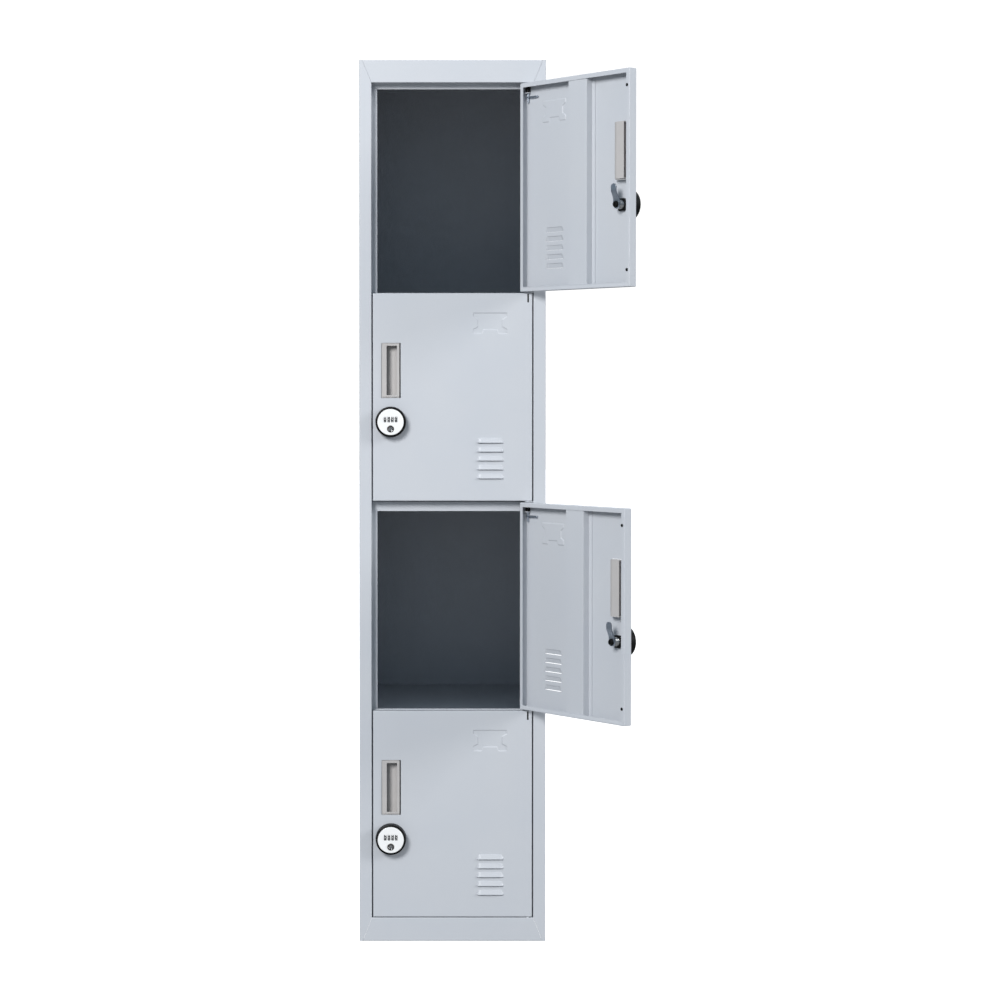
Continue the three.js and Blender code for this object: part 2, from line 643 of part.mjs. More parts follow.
function doorShell(bottom, top) {
  const louvreBottoms = Array.from(
    { length: LOUVRE_COUNT },
    (_, i) => bottom + LOUVRE_FIRST + i * LOUVRE_PITCH,
  );
  const label = moved(outlineOf(LABEL_OUTLINE), LABEL_X, top - LABEL_DROP);
  const guideZ = top - PIN_GUIDE_DROP;
  const guide = box(
    PIN_GUIDE_LEFT_X,
    DOOR_HALF_WIDTH - mid,
    SHEET + FIT_GAP,
    PIN_GUIDE_BACK_Y,
    guideZ,
    guideZ + TAB_THICKNESS,
  );
  const body = join(
    doorPan(bottom, top),
    prism('y', grown(label, SHEET), mid, SHEET + LABEL_RECESS),
    guide,
    ...louvreBottoms.map((z) => louvreSolid(z, 0, mid)),
  );
  const pullZ = top - PULL_DROP;
  const barrelHole = circle(LOCK_X, top - LOCK_DROP, BARREL_HOLE_RADIUS, LOCK_SIDES);
  const bufferHole = (z) => prism(
    'y',
    circle(-DOOR_HALF_WIDTH + BUFFER_HOLE_X, z, BUFFER_HOLE_RADIUS, PIN_SIDES),
    DOOR_THICKNESS - 2 * SHEET,
    DOOR_THICKNESS + FINE_OVERSHOOT,
  );
  return cut(
    body,
    prism('y', label, -FINE_OVERSHOOT, LABEL_RECESS),
    ...louvreBottoms.map((z) => louvreSolid(z - LOUVRE_MOUTH_DROP, LOUVRE_SHEET, SHEET + FINE_OVERSHOOT)),
    prism('y', rectangle(
      PULL_X - PULL_BOX_HALF_WIDTH - FIT_GAP,
      PULL_X + PULL_BOX_HALF_WIDTH + FIT_GAP,
      pullZ - PULL_BOX_HALF_HEIGHT - FIT_GAP,
      pullZ + PULL_BOX_HALF_HEIGHT + FIT_GAP,
    ), -FINE_OVERSHOOT, SHEET + FINE_OVERSHOOT),
    prism('y', barrelHole, -FINE_OVERSHOOT, SHEET + FINE_OVERSHOOT),
    bufferHole(top - BUFFER_HOLE_INSET),
    bufferHole(bottom + BUFFER_HOLE_INSET),
    pivotHole(guideZ - FINE_OVERSHOOT, top + FINE_OVERSHOOT),
    pivotHole(bottom - FINE_OVERSHOOT, bottom + SHEET + 1, COLLAR_HOLE_RADIUS),
  );
}

function stiffener(bottom, top) {
  const section = foldedSheet([
    [STIFFENER_LEFT - STIFFENER_FOOT, STIFFENER_FOOT_Y],
    [STIFFENER_LEFT, STIFFENER_FOOT_Y],
    [STIFFENER_LEFT, STIFFENER_CREST_Y],
    [STIFFENER_RIGHT, STIFFENER_CREST_Y],
    [STIFFENER_RIGHT, STIFFENER_FOOT_Y],
    [STIFFENER_RIGHT + STIFFENER_FOOT, STIFFENER_FOOT_Y],
  ], SHEET, BEND_RADIUS, 1);
  return prism('z', section, bottom + SHEET + FIT_GAP, top - SHEET - FIT_GAP);
}

function pull(top) {
  const z = top - PULL_DROP;
  const rim = (inset) => roundedRectangle(
    PULL_X - PULL_HALF_WIDTH + inset,
    PULL_X + PULL_HALF_WIDTH - inset,
    z - PULL_HALF_HEIGHT + inset,
    z + PULL_HALF_HEIGHT - inset,
    PULL_CORNER_RADIUS - inset,
  );
  const section = (pairs) => moved(outlineOf(pairs), PULL_X, 0);
  const body = join(
    stack('y', PULL_RIM_PROFILE.map(([y, inset]) => [y, rim(inset)])),
    prism('z', section(PULL_BOX_SECTION), z - PULL_BOX_HALF_HEIGHT, z + PULL_BOX_HALF_HEIGHT),
  );
  return cut(body, prism(
    'z', section(PULL_CAVITY_SECTION), z - PULL_CAVITY_HALF_HEIGHT, z + PULL_CAVITY_HALF_HEIGHT,
  ));
}

// A straight pin with a cross arm to pull it down by.
function pivotPin(boundary) {
  return join(
    prism(
      'z',
      circle(PIVOT_X, PIVOT_Y, PIN_RADIUS, PIN_SIDES),
      boundary - PIN_TAIL,
      boundary + PIN_RISE,
    ),
    prism(
      'x',
      circle(PIVOT_Y, boundary - PIN_ARM_DROP, PIN_ARM_RADIUS, PIN_SIDES),
      PIVOT_X - PIN_ARM_LEFT,
      PIVOT_X + PIN_ARM_RIGHT,
    ),
  );
}

// ---------------------------------------------------------------- lock, at the origin of its axis

function lockHousing() {
  const front = RING_FRONT_Y;
  const profile = [
    [SPINDLE_BORE_RADIUS, RING_FLOOR_Y],
    [RING_RECESS_RADIUS, RING_FLOOR_Y],
    [RING_RECESS_RADIUS, front + RING_INNER_CHAMFER],
    [RING_RECESS_RADIUS + RING_INNER_CHAMFER, front],
    ...RING_OUTER_PROFILE.map(([inset, back]) => [RING_RADIUS - inset, front + back]),
    [RING_RADIUS, -FIT_GAP],
    [BARREL_RADIUS, -FIT_GAP],
    [BARREL_RADIUS, BARREL_END_Y],
    [SPINDLE_BORE_RADIUS, BARREL_END_Y],
  ];
  return turned([...profile, profile[0]], LOCK_SIDES);
}

function lockNut() {
  const start = SHEET + FIT_GAP;
  return cut(
    prism('y', circle(0, 0, NUT_ACROSS_CORNERS / 2, 6), start, start + NUT_THICKNESS),
    prism('y', circle(0, 0, BARREL_HOLE_RADIUS, LOCK_SIDES), 0, start + NUT_THICKNESS + FINE_OVERSHOOT),
  );
}

const wheelX = Array.from(
  { length: WHEEL_COUNT },
  (_, i) => (i - (WHEEL_COUNT - 1) / 2) * WHEEL_PITCH,
);
const wheelY = KNOB_FRONT_Y + WHEEL_AXIS_DEPTH;

function lockKnob() {
  const disc = turned([
    [0, SPINDLE_END_Y],
    [SPINDLE_RADIUS, SPINDLE_END_Y],
    [SPINDLE_RADIUS, KNOB_BACK_Y],
    [KNOB_RADIUS, KNOB_BACK_Y],
    [KNOB_RADIUS, KNOB_FRONT_Y + KNOB_EDGE_BEVEL],
    [KNOB_RADIUS - KNOB_EDGE_BEVEL, KNOB_FRONT_Y],
    [0, KNOB_FRONT_Y],
  ], LOCK_SIDES);
  const wheelPocket = (x) => prism(
    'x',
    circle(wheelY, WHEEL_RISE, WHEEL_POCKET_RADIUS, WHEEL_FACETS),
    x - WHEEL_POCKET_WIDTH / 2,
    x + WHEEL_POCKET_WIDTH / 2,
  );
  const plugBore = prism(
    'y',
    circle(0, -PLUG_DROP, PLUG_BORE_RADIUS, SMALL_SIDES),
    KNOB_FRONT_Y - FINE_OVERSHOOT,
    KNOB_FRONT_Y - PLUG_PROUD + PLUG_DEPTH + FIT_GAP,
  );
  return cut(disc, ...wheelX.map(wheelPocket), plugBore);
}

function digitWheel(x) {
  return prism(
    'x',
    circle(wheelY, WHEEL_RISE, WHEEL_RADIUS, WHEEL_FACETS),
    x - WHEEL_WIDTH / 2,
    x + WHEEL_WIDTH / 2,
  );
}

function keyPlug() {
  const front = KNOB_FRONT_Y - PLUG_PROUD;
  return cut(
    prism('y', circle(0, -PLUG_DROP, PLUG_RADIUS, SMALL_SIDES), front, front + PLUG_DEPTH),
    box(
      -KEYWAY_HALF_WIDTH,
      KEYWAY_HALF_WIDTH,
      front - FINE_OVERSHOOT,
      front + KEYWAY_DEPTH,
      -PLUG_DROP - KEYWAY_HALF_HEIGHT,
      -PLUG_DROP + KEYWAY_HALF_HEIGHT,
    ),
  );
}

function camLever() {
  const tip = CAM_LENGTH - CAM_HALF_WIDTH;
  const outline = [
    ...arc(0, 0, CAM_HUB_RADIUS, 180, 360, CAM_ARC_STEPS),
    ...arc(0, tip, CAM_HALF_WIDTH, 0, 180, CAM_ARC_STEPS),
  ];
  const hubY = CAM_FRONT_Y + CAM_THICKNESS / 2;
  const cranked = foldedSheet([
    [hubY, -CAM_HUB_RADIUS - FINE_OVERSHOOT],
    [hubY, CAM_CRANK_START],
    [hubY + CAM_CRANK, CAM_CRANK_END],
    [hubY + CAM_CRANK, CAM_LENGTH + FINE_OVERSHOOT],
  ], CAM_THICKNESS);
  const lever = keep(
    prism('x', cranked, -CAM_HUB_RADIUS, CAM_HUB_RADIUS),
    prism('y', outline, CAM_FRONT_Y - FINE_OVERSHOOT, hubY + CAM_CRANK + CAM_THICKNESS),
  );
  return cut(lever, prism(
    'y',
    circle(0, 0, CAM_BORE_RADIUS, SMALL_SIDES),
    CAM_FRONT_Y - FINE_OVERSHOOT,
    CAM_FRONT_Y + CAM_THICKNESS + FINE_OVERSHOOT,
  ));
}

// ---------------------------------------------------------------- assembly

function named(name, geometry, finish) {
  const mesh = new THREE.Mesh(geometry, new THREE.MeshStandardMaterial(finish));
  mesh.name = name;
  return mesh;
}

function doorAssembly(number) {
  const bottom = boundaries[number] + DOOR_GAP;
  const top = boundaries[number - 1] - DOOR_GAP;
  const atLock = (geometry) => geometry.translate(LOCK_X, 0, top - LOCK_DROP);
  const pieces = [
    ['shell', doorShell(bottom, top), STEEL_PAINT],
    ['stiffener', stiffener(bottom, top), STEEL_PAINT],
    ['pull', pull(top), BEIGE_PLASTIC],
    ['pivot_pin', pivotPin(boundaries[number - 1]), ZINC],
    ['lock_housing', atLock(lockHousing()), BLACK_PLASTIC],
    ['lock_nut', atLock(lockNut()), BLACK_PLASTIC],
    ['lock_knob', atLock(lockKnob()), WHITE_PLASTIC],
    ['key_plug', atLock(keyPlug()), CHROME],
    ['cam_lever', atLock(camLever()), ZINC],
    ...wheelX.map((x, i) => [`digit_wheel_${i + 1}`, atLock(digitWheel(x)), BLACK_PLASTIC]),
  ];
  const door = new THREE.Group();
  door.name = `door_${number}`;
  door.position.set(PIVOT_X, PIVOT_Y, 0);
  door.rotation.z = THREE.MathUtils.degToRad(OPEN_ANGLES[number - 1]);
  pieces.forEach(([name, geometry, finish]) => {
    door.add(named(`door_${number}_${name}`, geometry.translate(-PIVOT_X, -PIVOT_Y, 0), finish));
  });
  return door;
}

const group = new THREE.Group();
group.name = 'locker';
group.add(
  named('left_side_panel', sidePanel(-1), STEEL_PAINT),
  named('right_side_panel', rightSidePanel(), STEEL_PAINT),
  named('top_panel', topPanel(), STEEL_PAINT),
  named('bottom_panel', bottomPanel(), STEEL_PAINT),
  named('back_panel', backPanel(), STEEL_PAINT),
  ...boundaries.slice(1, -1).map((z, i) => named(`shelf_${i + 1}`, shelf(z), STEEL_PAINT)),
  ...Array.from({ length: DOOR_COUNT }, (_, i) => doorAssembly(i + 1)),
);

export default group;
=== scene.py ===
"""A four-door steel locker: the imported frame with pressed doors, pulls, locks and finishes."""

import json
import math
import random

import bmesh
import bpy
import numpy as np
from mathutils import Matrix, Vector


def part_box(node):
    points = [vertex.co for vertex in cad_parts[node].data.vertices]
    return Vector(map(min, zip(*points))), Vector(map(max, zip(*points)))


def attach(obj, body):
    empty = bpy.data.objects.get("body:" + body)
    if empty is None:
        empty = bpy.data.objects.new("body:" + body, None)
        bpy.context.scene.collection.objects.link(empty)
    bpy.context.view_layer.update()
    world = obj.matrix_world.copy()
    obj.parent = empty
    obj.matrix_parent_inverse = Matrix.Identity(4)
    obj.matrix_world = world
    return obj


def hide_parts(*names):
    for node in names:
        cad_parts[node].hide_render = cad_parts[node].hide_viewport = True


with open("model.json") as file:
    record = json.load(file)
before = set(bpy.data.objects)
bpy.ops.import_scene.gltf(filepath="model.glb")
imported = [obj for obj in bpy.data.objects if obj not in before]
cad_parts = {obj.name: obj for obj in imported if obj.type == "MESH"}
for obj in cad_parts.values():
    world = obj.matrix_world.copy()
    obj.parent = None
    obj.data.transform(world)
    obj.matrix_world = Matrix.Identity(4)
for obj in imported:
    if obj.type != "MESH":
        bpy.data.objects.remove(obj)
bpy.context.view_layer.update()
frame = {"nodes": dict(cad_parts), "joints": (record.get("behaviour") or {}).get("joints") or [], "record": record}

random.seed(7)

MM = 0.001
DOORS = (1, 2, 3, 4)
CLOSED_DOOR = 2  # it stands closed, so its boxes give the sizes of every door's parts
joints = {joint["name"]: joint for joint in frame["joints"]}


def closed_box(part):
    """Lowest and highest corner of a closed door's part, in mm, with Z from the door's bottom edge."""
    bottom = Vector((0, 0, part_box(f"door_{CLOSED_DOOR}_shell")[0].z))
    return [(corner - bottom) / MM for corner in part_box(f"door_{CLOSED_DOOR}_{part}")]


# ---------------------------------------------------------------- sizes, in mm

DOOR_LOW, DOOR_HIGH = closed_box("shell")
DOOR_HALF_WIDTH = DOOR_HIGH.x
DOOR_HEIGHT = DOOR_HIGH.z
DOOR_BACK = DOOR_HIGH.y
SHEET = 1.0
FOLD_RADIUS = 1.5  # outside radius of the pan's folds
FOLD_STEPS = 4
LIP_WIDTH = 9.0
SHEET_EDGE_ROUND = 0.18
LIP_CORNER = 11.0  # no grid line comes nearer to a corner than this, so that the lips can mitre
LIP_CORNER_ROUND = 1.2
SKIN_GAP = 0.1  # between the skin and a rim that lies on it
ON_EDGE = 1e-6  # points nearer than this to a line count as on it
PAST = 2.0  # how far a cutting shape reaches past what it cuts
OVERLAP = 0.5  # how far two cutting shapes that meet reach into each other

# Louvres: hoods pushed out of the skin, each open below.
LOUVRE_COUNT = 5
LOUVRE_PITCH = 18.2
LOUVRE_FIRST = 46.0
LOUVRE_X = 77.0
LOUVRE_HALF_WIDTH = 28.0
LOUVRE_TOP_HALF_WIDTH = 22.5
LOUVRE_HEIGHT = 10.0
LOUVRE_PROJECTION = -DOOR_LOW.y
LOUVRE_END = 4.5  # length of the slope at each end of a hood
LOUVRE_FOOT = 0.9  # a short step up from the skin all round a hood
LOUVRE_FOOT_SHARE = 0.3
LOUVRE_SLOT = 0.9
LOUVRE_BOTTOMS = [LOUVRE_FIRST + i * LOUVRE_PITCH for i in range(LOUVRE_COUNT)]
LOUVRE_FOOT_ZONE = 2 * LOUVRE_FOOT

# The pressed label recess.
LABEL_X = 77.0
LABEL_Z = DOOR_HEIGHT - 61.0
LABEL_RECESS = 1.2
LABEL_DRAFT = 1.5  # width of the sloping step round the recess
LABEL_OUTLINE = [
    (-34, 21), (34, 21), (34, 14), (25, 8), (25, -7), (34, -12), (34, -21), (17, -21),
    (14, -13), (-14, -13), (-17, -21), (-34, -21), (-34, -12), (-25, -7), (-25, 8), (-34, 14),
]
LABEL_END_ZONE = 12.5  # the outline's sloping ends lie within this of its tips
LABEL_NOTCH_ZONE = (12.0, 19.0)  # the sides of its notch lie between these distances from its middle
LABEL_HALF_ZONE = 23.0

# The spacing of the grid that the skin is pressed in: fine where something is pressed.
GRID_COARSE = 18.0
GRID_LABEL = 0.75
GRID_LOUVRE = 1.1
GRID_LOUVRE_FOOT = 0.3

# The pin's holes and its guide plate, and the holes in the latch-side lip.
PIVOT_X, PIVOT_Y = [c / MM for c in joints["door_1_hinge"]["pos_m"][:2]]
PIN_HOLE_RADIUS = 2.4
COLLAR_HOLE_RADIUS = 3.5
GUIDE_BOX = ((149.0, 161.9), (1.2, 9.5), (DOOR_HEIGHT - 20.0, DOOR_HEIGHT - 18.4))
BUFFER_HOLE_RADIUS = 1.8
BUFFER_HOLE_X = 6.5 - DOOR_HALF_WIDTH
BUFFER_HOLE_INSET = 33.0

# The recessed pull.
PULL_LOW, PULL_HIGH = closed_box("pull")
PULL_X = (PULL_LOW.x + PULL_HIGH.x) / 2
PULL_Z = (PULL_LOW.z + PULL_HIGH.z) / 2
PULL_HALF_WIDTH = (PULL_HIGH.x - PULL_LOW.x) / 2
PULL_HALF_HEIGHT = (PULL_HIGH.z - PULL_LOW.z) / 2
PULL_FRONT = PULL_LOW.y
PULL_BACK = PULL_HIGH.y
PULL_CORNER = 5.0
PULL_RIM_ROUND = 1.1
PULL_BOX_HALF_WIDTH = 19.0
PULL_BOX_HALF_HEIGHT = 55.4
PULL_HOLE_GAP = 0.2
PULL_MOUTH_LEFT = -12.0
PULL_MOUTH_RIGHT = 15.3
PULL_MOUTH_HALF_HEIGHT = 53.4
PULL_MOUTH_CORNER = 4.0
PULL_CAVITY_BACK = 15.6
PULL_LIP_BACK = 3.0
PULL_HOOK_BACK = 11.5  # how far back the grip lip's turned-in edge reaches
PULL_HOOK_THICKNESS = 1.5
PULL_CASING_RIGHT = 17.0  # the casing's back curves forward to here from the pull's centre line
PULL_CURVE_START = 1.0  # the cavity's curve starts this far behind the skin, the casing's in front

# The lock, measured from its axis.
RING_LOW, RING_HIGH = closed_box("lock_housing")
LOCK_X = (RING_LOW.x + RING_HIGH.x) / 2
LOCK_Z = (RING_LOW.z + RING_HIGH.z) / 2
RING_RADIUS = (RING_HIGH.x - RING_LOW.x) / 2
RING_FRONT = RING_LOW.y
BARREL_END = RING_HIGH.y
BARREL_RADIUS = 9.0
LOCK_HOLE_GAP = 0.3
RING_RECESS_RADIUS = 26.9
RING_FLOOR = -3.0
KNOB_LOW, KNOB_HIGH = closed_box("lock_knob")
KNOB_RADIUS = (KNOB_HIGH.x - KNOB_LOW.x) / 2
KNOB_BACK = -3.4
SPINDLE_RADIUS = 4.0
SPINDLE_GAP = 0.3
NUT_LOW, NUT_HIGH = closed_box("lock_nut")
NUT_CHAMFER = 1.6  # at the corners
CAM_LOW, CAM_HIGH = closed_box("cam_lever")
CAM_HUB_RADIUS = (CAM_HIGH.x - CAM_LOW.x) / 2
CAM_TIP_RADIUS = 7.0
CAM_THICKNESS = 2.5
CAM_CRANK_START = 8.0  # the lever bends back between these heights above the axis
CAM_CRANK_END = 27.0
CAM_TAPER_END = 0.625  # the share of the way up where the lever has narrowed to its tip's width
CAM_END_STEPS = 12
CAM_SIDE_STEPS = 16
SCREW_RADIUS = 6.2
SCREW_HEIGHT = 3.4
SCREW_SOCKET_RADIUS = 2.9
SCREW_SOCKET_FLOOR = 1.4
PLUG_LOW, PLUG_HIGH = closed_box("key_plug")
PLUG_SIDE_GAP = 0.35
PLUG_END_GAP = 0.3
SLEEVE_WIDTH = 2.2
KEYWAY_HALF_SIZE = (0.8, 3.4)
KEYWAY_DEPTH = 6.0
WHEEL_BOXES = [closed_box(f"digit_wheel_{k}") for k in (1, 2, 3, 4)]
WHEEL_FACETS = 10
WHEEL_RADIUS = 7.7
WHEEL_WINDOW_RADIUS = 8.4
WHEEL_WINDOW_WIDTH = 4.8
DIGIT_SIZE = 4.2
DIGIT_BOLDNESS = 0.12
DIGIT_RELIEF = 0.05
PIN_LOW, PIN_HIGH = closed_box("pivot_pin")
PIN_RADIUS = 2.2
PIN_ARM_RADIUS = 2.0
PIN_RISE = 4.0  # above the compartment's upper boundary
PIN_ARM_DROP = 30.0  # below that boundary
BUSH_RADIUS = 4.3
RUNNING_GAP = 0.15  # between the bush and the pin, and between the bush and the sheet above it
TOUCH_GAP = 0.05

ROUND_STEPS = 72

# ---------------------------------------------------------------- outlines and meshes


def rectangle(u0, u1, v0, v1):
    return [(u0, v0), (u1, v0), (u1, v1), (u0, v1)]


def ellipse_arc(u, v, radius_u, radius_v, start, end, steps):
    """Points on part of an ellipse, from one angle to another in degrees."""
    angles = [math.radians(start + (end - start) * i / steps) for i in range(steps + 1)]
    return [(u + radius_u * math.cos(a), v + radius_v * math.sin(a)) for a in angles]


def circle(u, v, radius, steps=ROUND_STEPS):
    return ellipse_arc(u, v, radius, radius, 0, 360, steps)[:-1]


def filleted(corners, radius, steps=5, closed=True):
    """An outline with rounded corners. The radius is one number, or one for each corner.

    It places the centre of each corner's arc. The arc itself is always 1 mm in radius, because slerp
    gives unit vectors, so larger corners come out cut back and smaller ones stand out a little.
    """
    radii = radius if isinstance(radius, list) else [radius] * len(corners)
    points = []
    for i, here in enumerate(corners):
        at_end = not closed and i in (0, len(corners) - 1)
        if at_end or radii[i] == 0:
            points.append(tuple(here))
            continue
        corner = Vector(here)
        back = Vector(corners[i - 1]) - corner
        ahead = Vector(corners[(i + 1) % len(corners)]) - corner
        half = back.angle(ahead) / 2
        setback = min(radii[i] / math.tan(half), 0.49 * back.length, 0.49 * ahead.length)
        back.normalize()
        ahead.normalize()
        centre = corner + (back + ahead).normalized() * (setback / math.cos(half))
        start = corner + back * setback - centre
        end = corner + ahead * setback - centre
        for step in range(steps + 1):
            points.append(tuple(centre + start.slerp(end, step / steps)))
    return points


def mesh_of(vertices, faces, outward=True):
    """A mesh from points in mm."""
    mesh = bpy.data.meshes.new("shape")
    mesh.from_pydata([tuple(MM * c for c in v) for v in vertices], [], faces)
    if outward:
        made = bmesh.new()
        made.from_mesh(mesh)
        bmesh.ops.remove_doubles(made, verts=made.verts, dist=1e-7)
        bmesh.ops.recalc_face_normals(made, faces=made.faces)
        made.to_mesh(mesh)
        made.free()
    return mesh


PLACEMENTS = {
    "x": lambda u, v, w: (w, u, v),
    "y": lambda u, v, w: (u, w, v),
    "z": lambda u, v, w: (u, v, w),
}


def stack(axis, levels):
    """A closed mesh through matching outlines, given as (position along the axis, outline)."""
    place = PLACEMENTS[axis]
    count = len(levels[0][1])
    vertices = [place(u, v, w) for w, outline in levels for u, v in outline]
    faces = [tuple(range(count)), tuple(range(len(vertices) - count, len(vertices)))]
    for level in range(len(levels) - 1):
        for i in range(count):
            a = level * count + i
            b = level * count + (i + 1) % count
            faces.append((a, b, b + count, a + count))
    return mesh_of(vertices, faces)


def prism(axis, outline, low, high):
    return stack(axis, [(low, outline), (high, outline)])


def block(x_range, y_range, z_range):
    return prism("z", rectangle(*x_range, *y_range), *z_range)


def turned(profile, steps=ROUND_STEPS):
    """A mesh turned about the Y axis, from (radius, y) points that close up or end on the axis."""
    count = len(profile)
    vertices = []
    faces = []
    for turn in range(steps):
        angle = math.tau * turn / steps
        vertices += [(r * math.cos(angle), y, r * math.sin(angle)) for r, y in profile]
        start = turn * count
        after = (turn + 1) % steps * count
        for i in range(count - 1):
            faces.append((start + i, start + i + 1, after + i + 1, after + i))
    return mesh_of(vertices, faces)


def turned_ring(profile, steps=ROUND_STEPS):
    return turned([*profile, profile[0]], steps)


def modified(mesh, *modifiers):
    """The mesh with modifiers applied, each given as (kind, settings)."""
    host = bpy.data.objects.new("host", mesh)
    bpy.context.scene.collection.objects.link(host)
    for kind, settings in modifiers:
        modifier = host.modifiers.new(kind, kind)
        for key, value in settings.items():
            setattr(modifier, key, value)
    bpy.context.view_layer.update()
    made = bpy.data.meshes.new_from_object(
        host.evaluated_get(bpy.context.evaluated_depsgraph_get())
    )
    bpy.data.objects.remove(host)
    return made


def combined(mesh, tool, operation):
    helper = bpy.data.objects.new("tool", tool)
    bpy.context.scene.collection.objects.link(helper)
    made = modified(
        mesh, ("BOOLEAN", {"operation": operation, "solver": "EXACT", "object": helper})
    )
    bpy.data.objects.remove(helper)
    return made


def cut(mesh, *tools):
    for tool in tools:
        mesh = combined(mesh, tool, "DIFFERENCE")
    return mesh


def join(mesh, *others):
    for other in others:
        mesh = combined(mesh, other, "UNION")
    return mesh


def keep(mesh, region):
    return combined(mesh, region, "INTERSECT")


def softened(mesh, width, segments=2, angle=35):
    """The mesh with its edges rounded and its flat faces kept flat."""
    bevel = {
        "width": width * MM,
        "segments": segments,
        "limit_method": "ANGLE",
        "angle_limit": math.radians(angle),
        "use_clamp_overlap": True,
        "miter_outer": "MITER_ARC",
    }
    made = modified(mesh, ("BEVEL", bevel))
    return smoothed(made, angle)


def smoothed(mesh, angle=35):
    mesh.shade_smooth()
    mesh.set_sharp_from_angle(angle=math.radians(angle))
    return modified(mesh, ("WEIGHTED_NORMAL", {"weight": 60, "keep_sharp": True}))


def eased(share):
    """A smooth step from 0 to 1."""
    share = np.clip(share, 0, 1)
    return share * share * (3 - 2 * share)


# ---------------------------------------------------------------- the pressed door


def spaced(low, high, coarse, zones):
    """Positions from low to high in coarse steps, with (start, end, step) zones in finer ones."""
    stops = [low]
    for start, end, step in [*zones, (high, high, coarse)]:
        for a, b, size in ((stops[-1], start, coarse), (start, end, step)):
            if b > a:
                parts = math.ceil((b - a) / size - ON_EDGE)
                stops += [a + (b - a) * (i + 1) / parts for i in range(parts)]
    return stops


def inside_distance(x, z, outline):
    """How far points lie inside a closed outline; negative outside it."""
    nearest = np.full(x.shape, np.inf)
    inside = np.zeros(x.shape, bool)
    for (u0, v0), (u1, v1) in zip(outline, [*outline[1:], outline[0]]):
        du, dv = u1 - u0, v1 - v0
        share = np.clip(((x - u0) * du + (z - v0) * dv) / (du * du + dv * dv), 0, 1)
        nearest = np.minimum(nearest, np.hypot(x - u0 - share * du, z - v0 - share * dv))
        if dv:
            inside ^= ((v0 > z) != (v1 > z)) & (x < u0 + du * (z - v0) / dv)
    return np.where(inside, nearest, -nearest)


def louvre_relief(x, z):
    """How far the hoods stand in front of the skin."""
    relief = np.zeros(x.shape)
    narrowing = LOUVRE_HALF_WIDTH - LOUVRE_TOP_HALF_WIDTH
    for bottom in LOUVRE_BOTTOMS:
        rise = (z - bottom) / LOUVRE_HEIGHT
        half_width = LOUVRE_HALF_WIDTH - narrowing * np.clip(rise, 0, 1)
        from_end = half_width - np.abs(x - LOUVRE_X)
        from_top = LOUVRE_HEIGHT * (1 - rise)
        foot = eased(np.minimum(from_end, from_top) / LOUVRE_FOOT)
        slope = eased(from_end / LOUVRE_END) * np.clip(1 - rise, 0, 1)
        hood = LOUVRE_PROJECTION * foot * (LOUVRE_FOOT_SHARE + (1 - LOUVRE_FOOT_SHARE) * slope)
        relief = np.where(rise > -ON_EDGE, np.maximum(relief, hood), relief)
    return relief


def in_slot(x, z):
    """Whether a point of the skin lies in the slot below a hood."""
    within = abs(x - LOUVRE_X) < LOUVRE_HALF_WIDTH - LOUVRE_END / 3
    return within and any(bottom - LOUVRE_SLOT < z < bottom for bottom in LOUVRE_BOTTOMS)


def skin_grid():
    """Positions of the skin's grid lines in X and Z."""
    edge = FOLD_RADIUS
    left = min(u for u, _ in LABEL_OUTLINE) + LABEL_X - LABEL_DRAFT
    right = max(u for u, _ in LABEL_OUTLINE) + LABEL_X + LABEL_DRAFT
    notch_start, notch_end = LABEL_NOTCH_ZONE
    x_stops = spaced(-DOOR_HALF_WIDTH + edge, DOOR_HALF_WIDTH - edge, GRID_COARSE, [
        (-DOOR_HALF_WIDTH + edge, -DOOR_HALF_WIDTH + LIP_CORNER, LIP_CORNER),
        (left, left + LABEL_END_ZONE, GRID_LABEL),
        (LABEL_X - notch_end, LABEL_X - notch_start, GRID_LABEL),
        (LABEL_X + notch_start, LABEL_X + notch_end, GRID_LABEL),
        (right - LABEL_END_ZONE, right, GRID_LABEL),
        (DOOR_HALF_WIDTH - LIP_CORNER, DOOR_HALF_WIDTH - edge, LIP_CORNER),
    ])
    louvre_zones = []
    for bottom in LOUVRE_BOTTOMS:
        top = bottom + LOUVRE_HEIGHT
        louvre_zones += [
            (bottom - LOUVRE_SLOT, bottom, LOUVRE_SLOT),
            (bottom, top - LOUVRE_FOOT_ZONE, GRID_LOUVRE),
            (top - LOUVRE_FOOT_ZONE, top, GRID_LOUVRE_FOOT),
        ]
    z_stops = spaced(edge, DOOR_HEIGHT - edge, GRID_COARSE, [
        (edge, LIP_CORNER, LIP_CORNER),
        *louvre_zones,
        (LABEL_Z - LABEL_HALF_ZONE, LABEL_Z + LABEL_HALF_ZONE, GRID_LABEL),
        (DOOR_HEIGHT - LIP_CORNER, DOOR_HEIGHT - edge, LIP_CORNER),
    ])
    return x_stops, z_stops


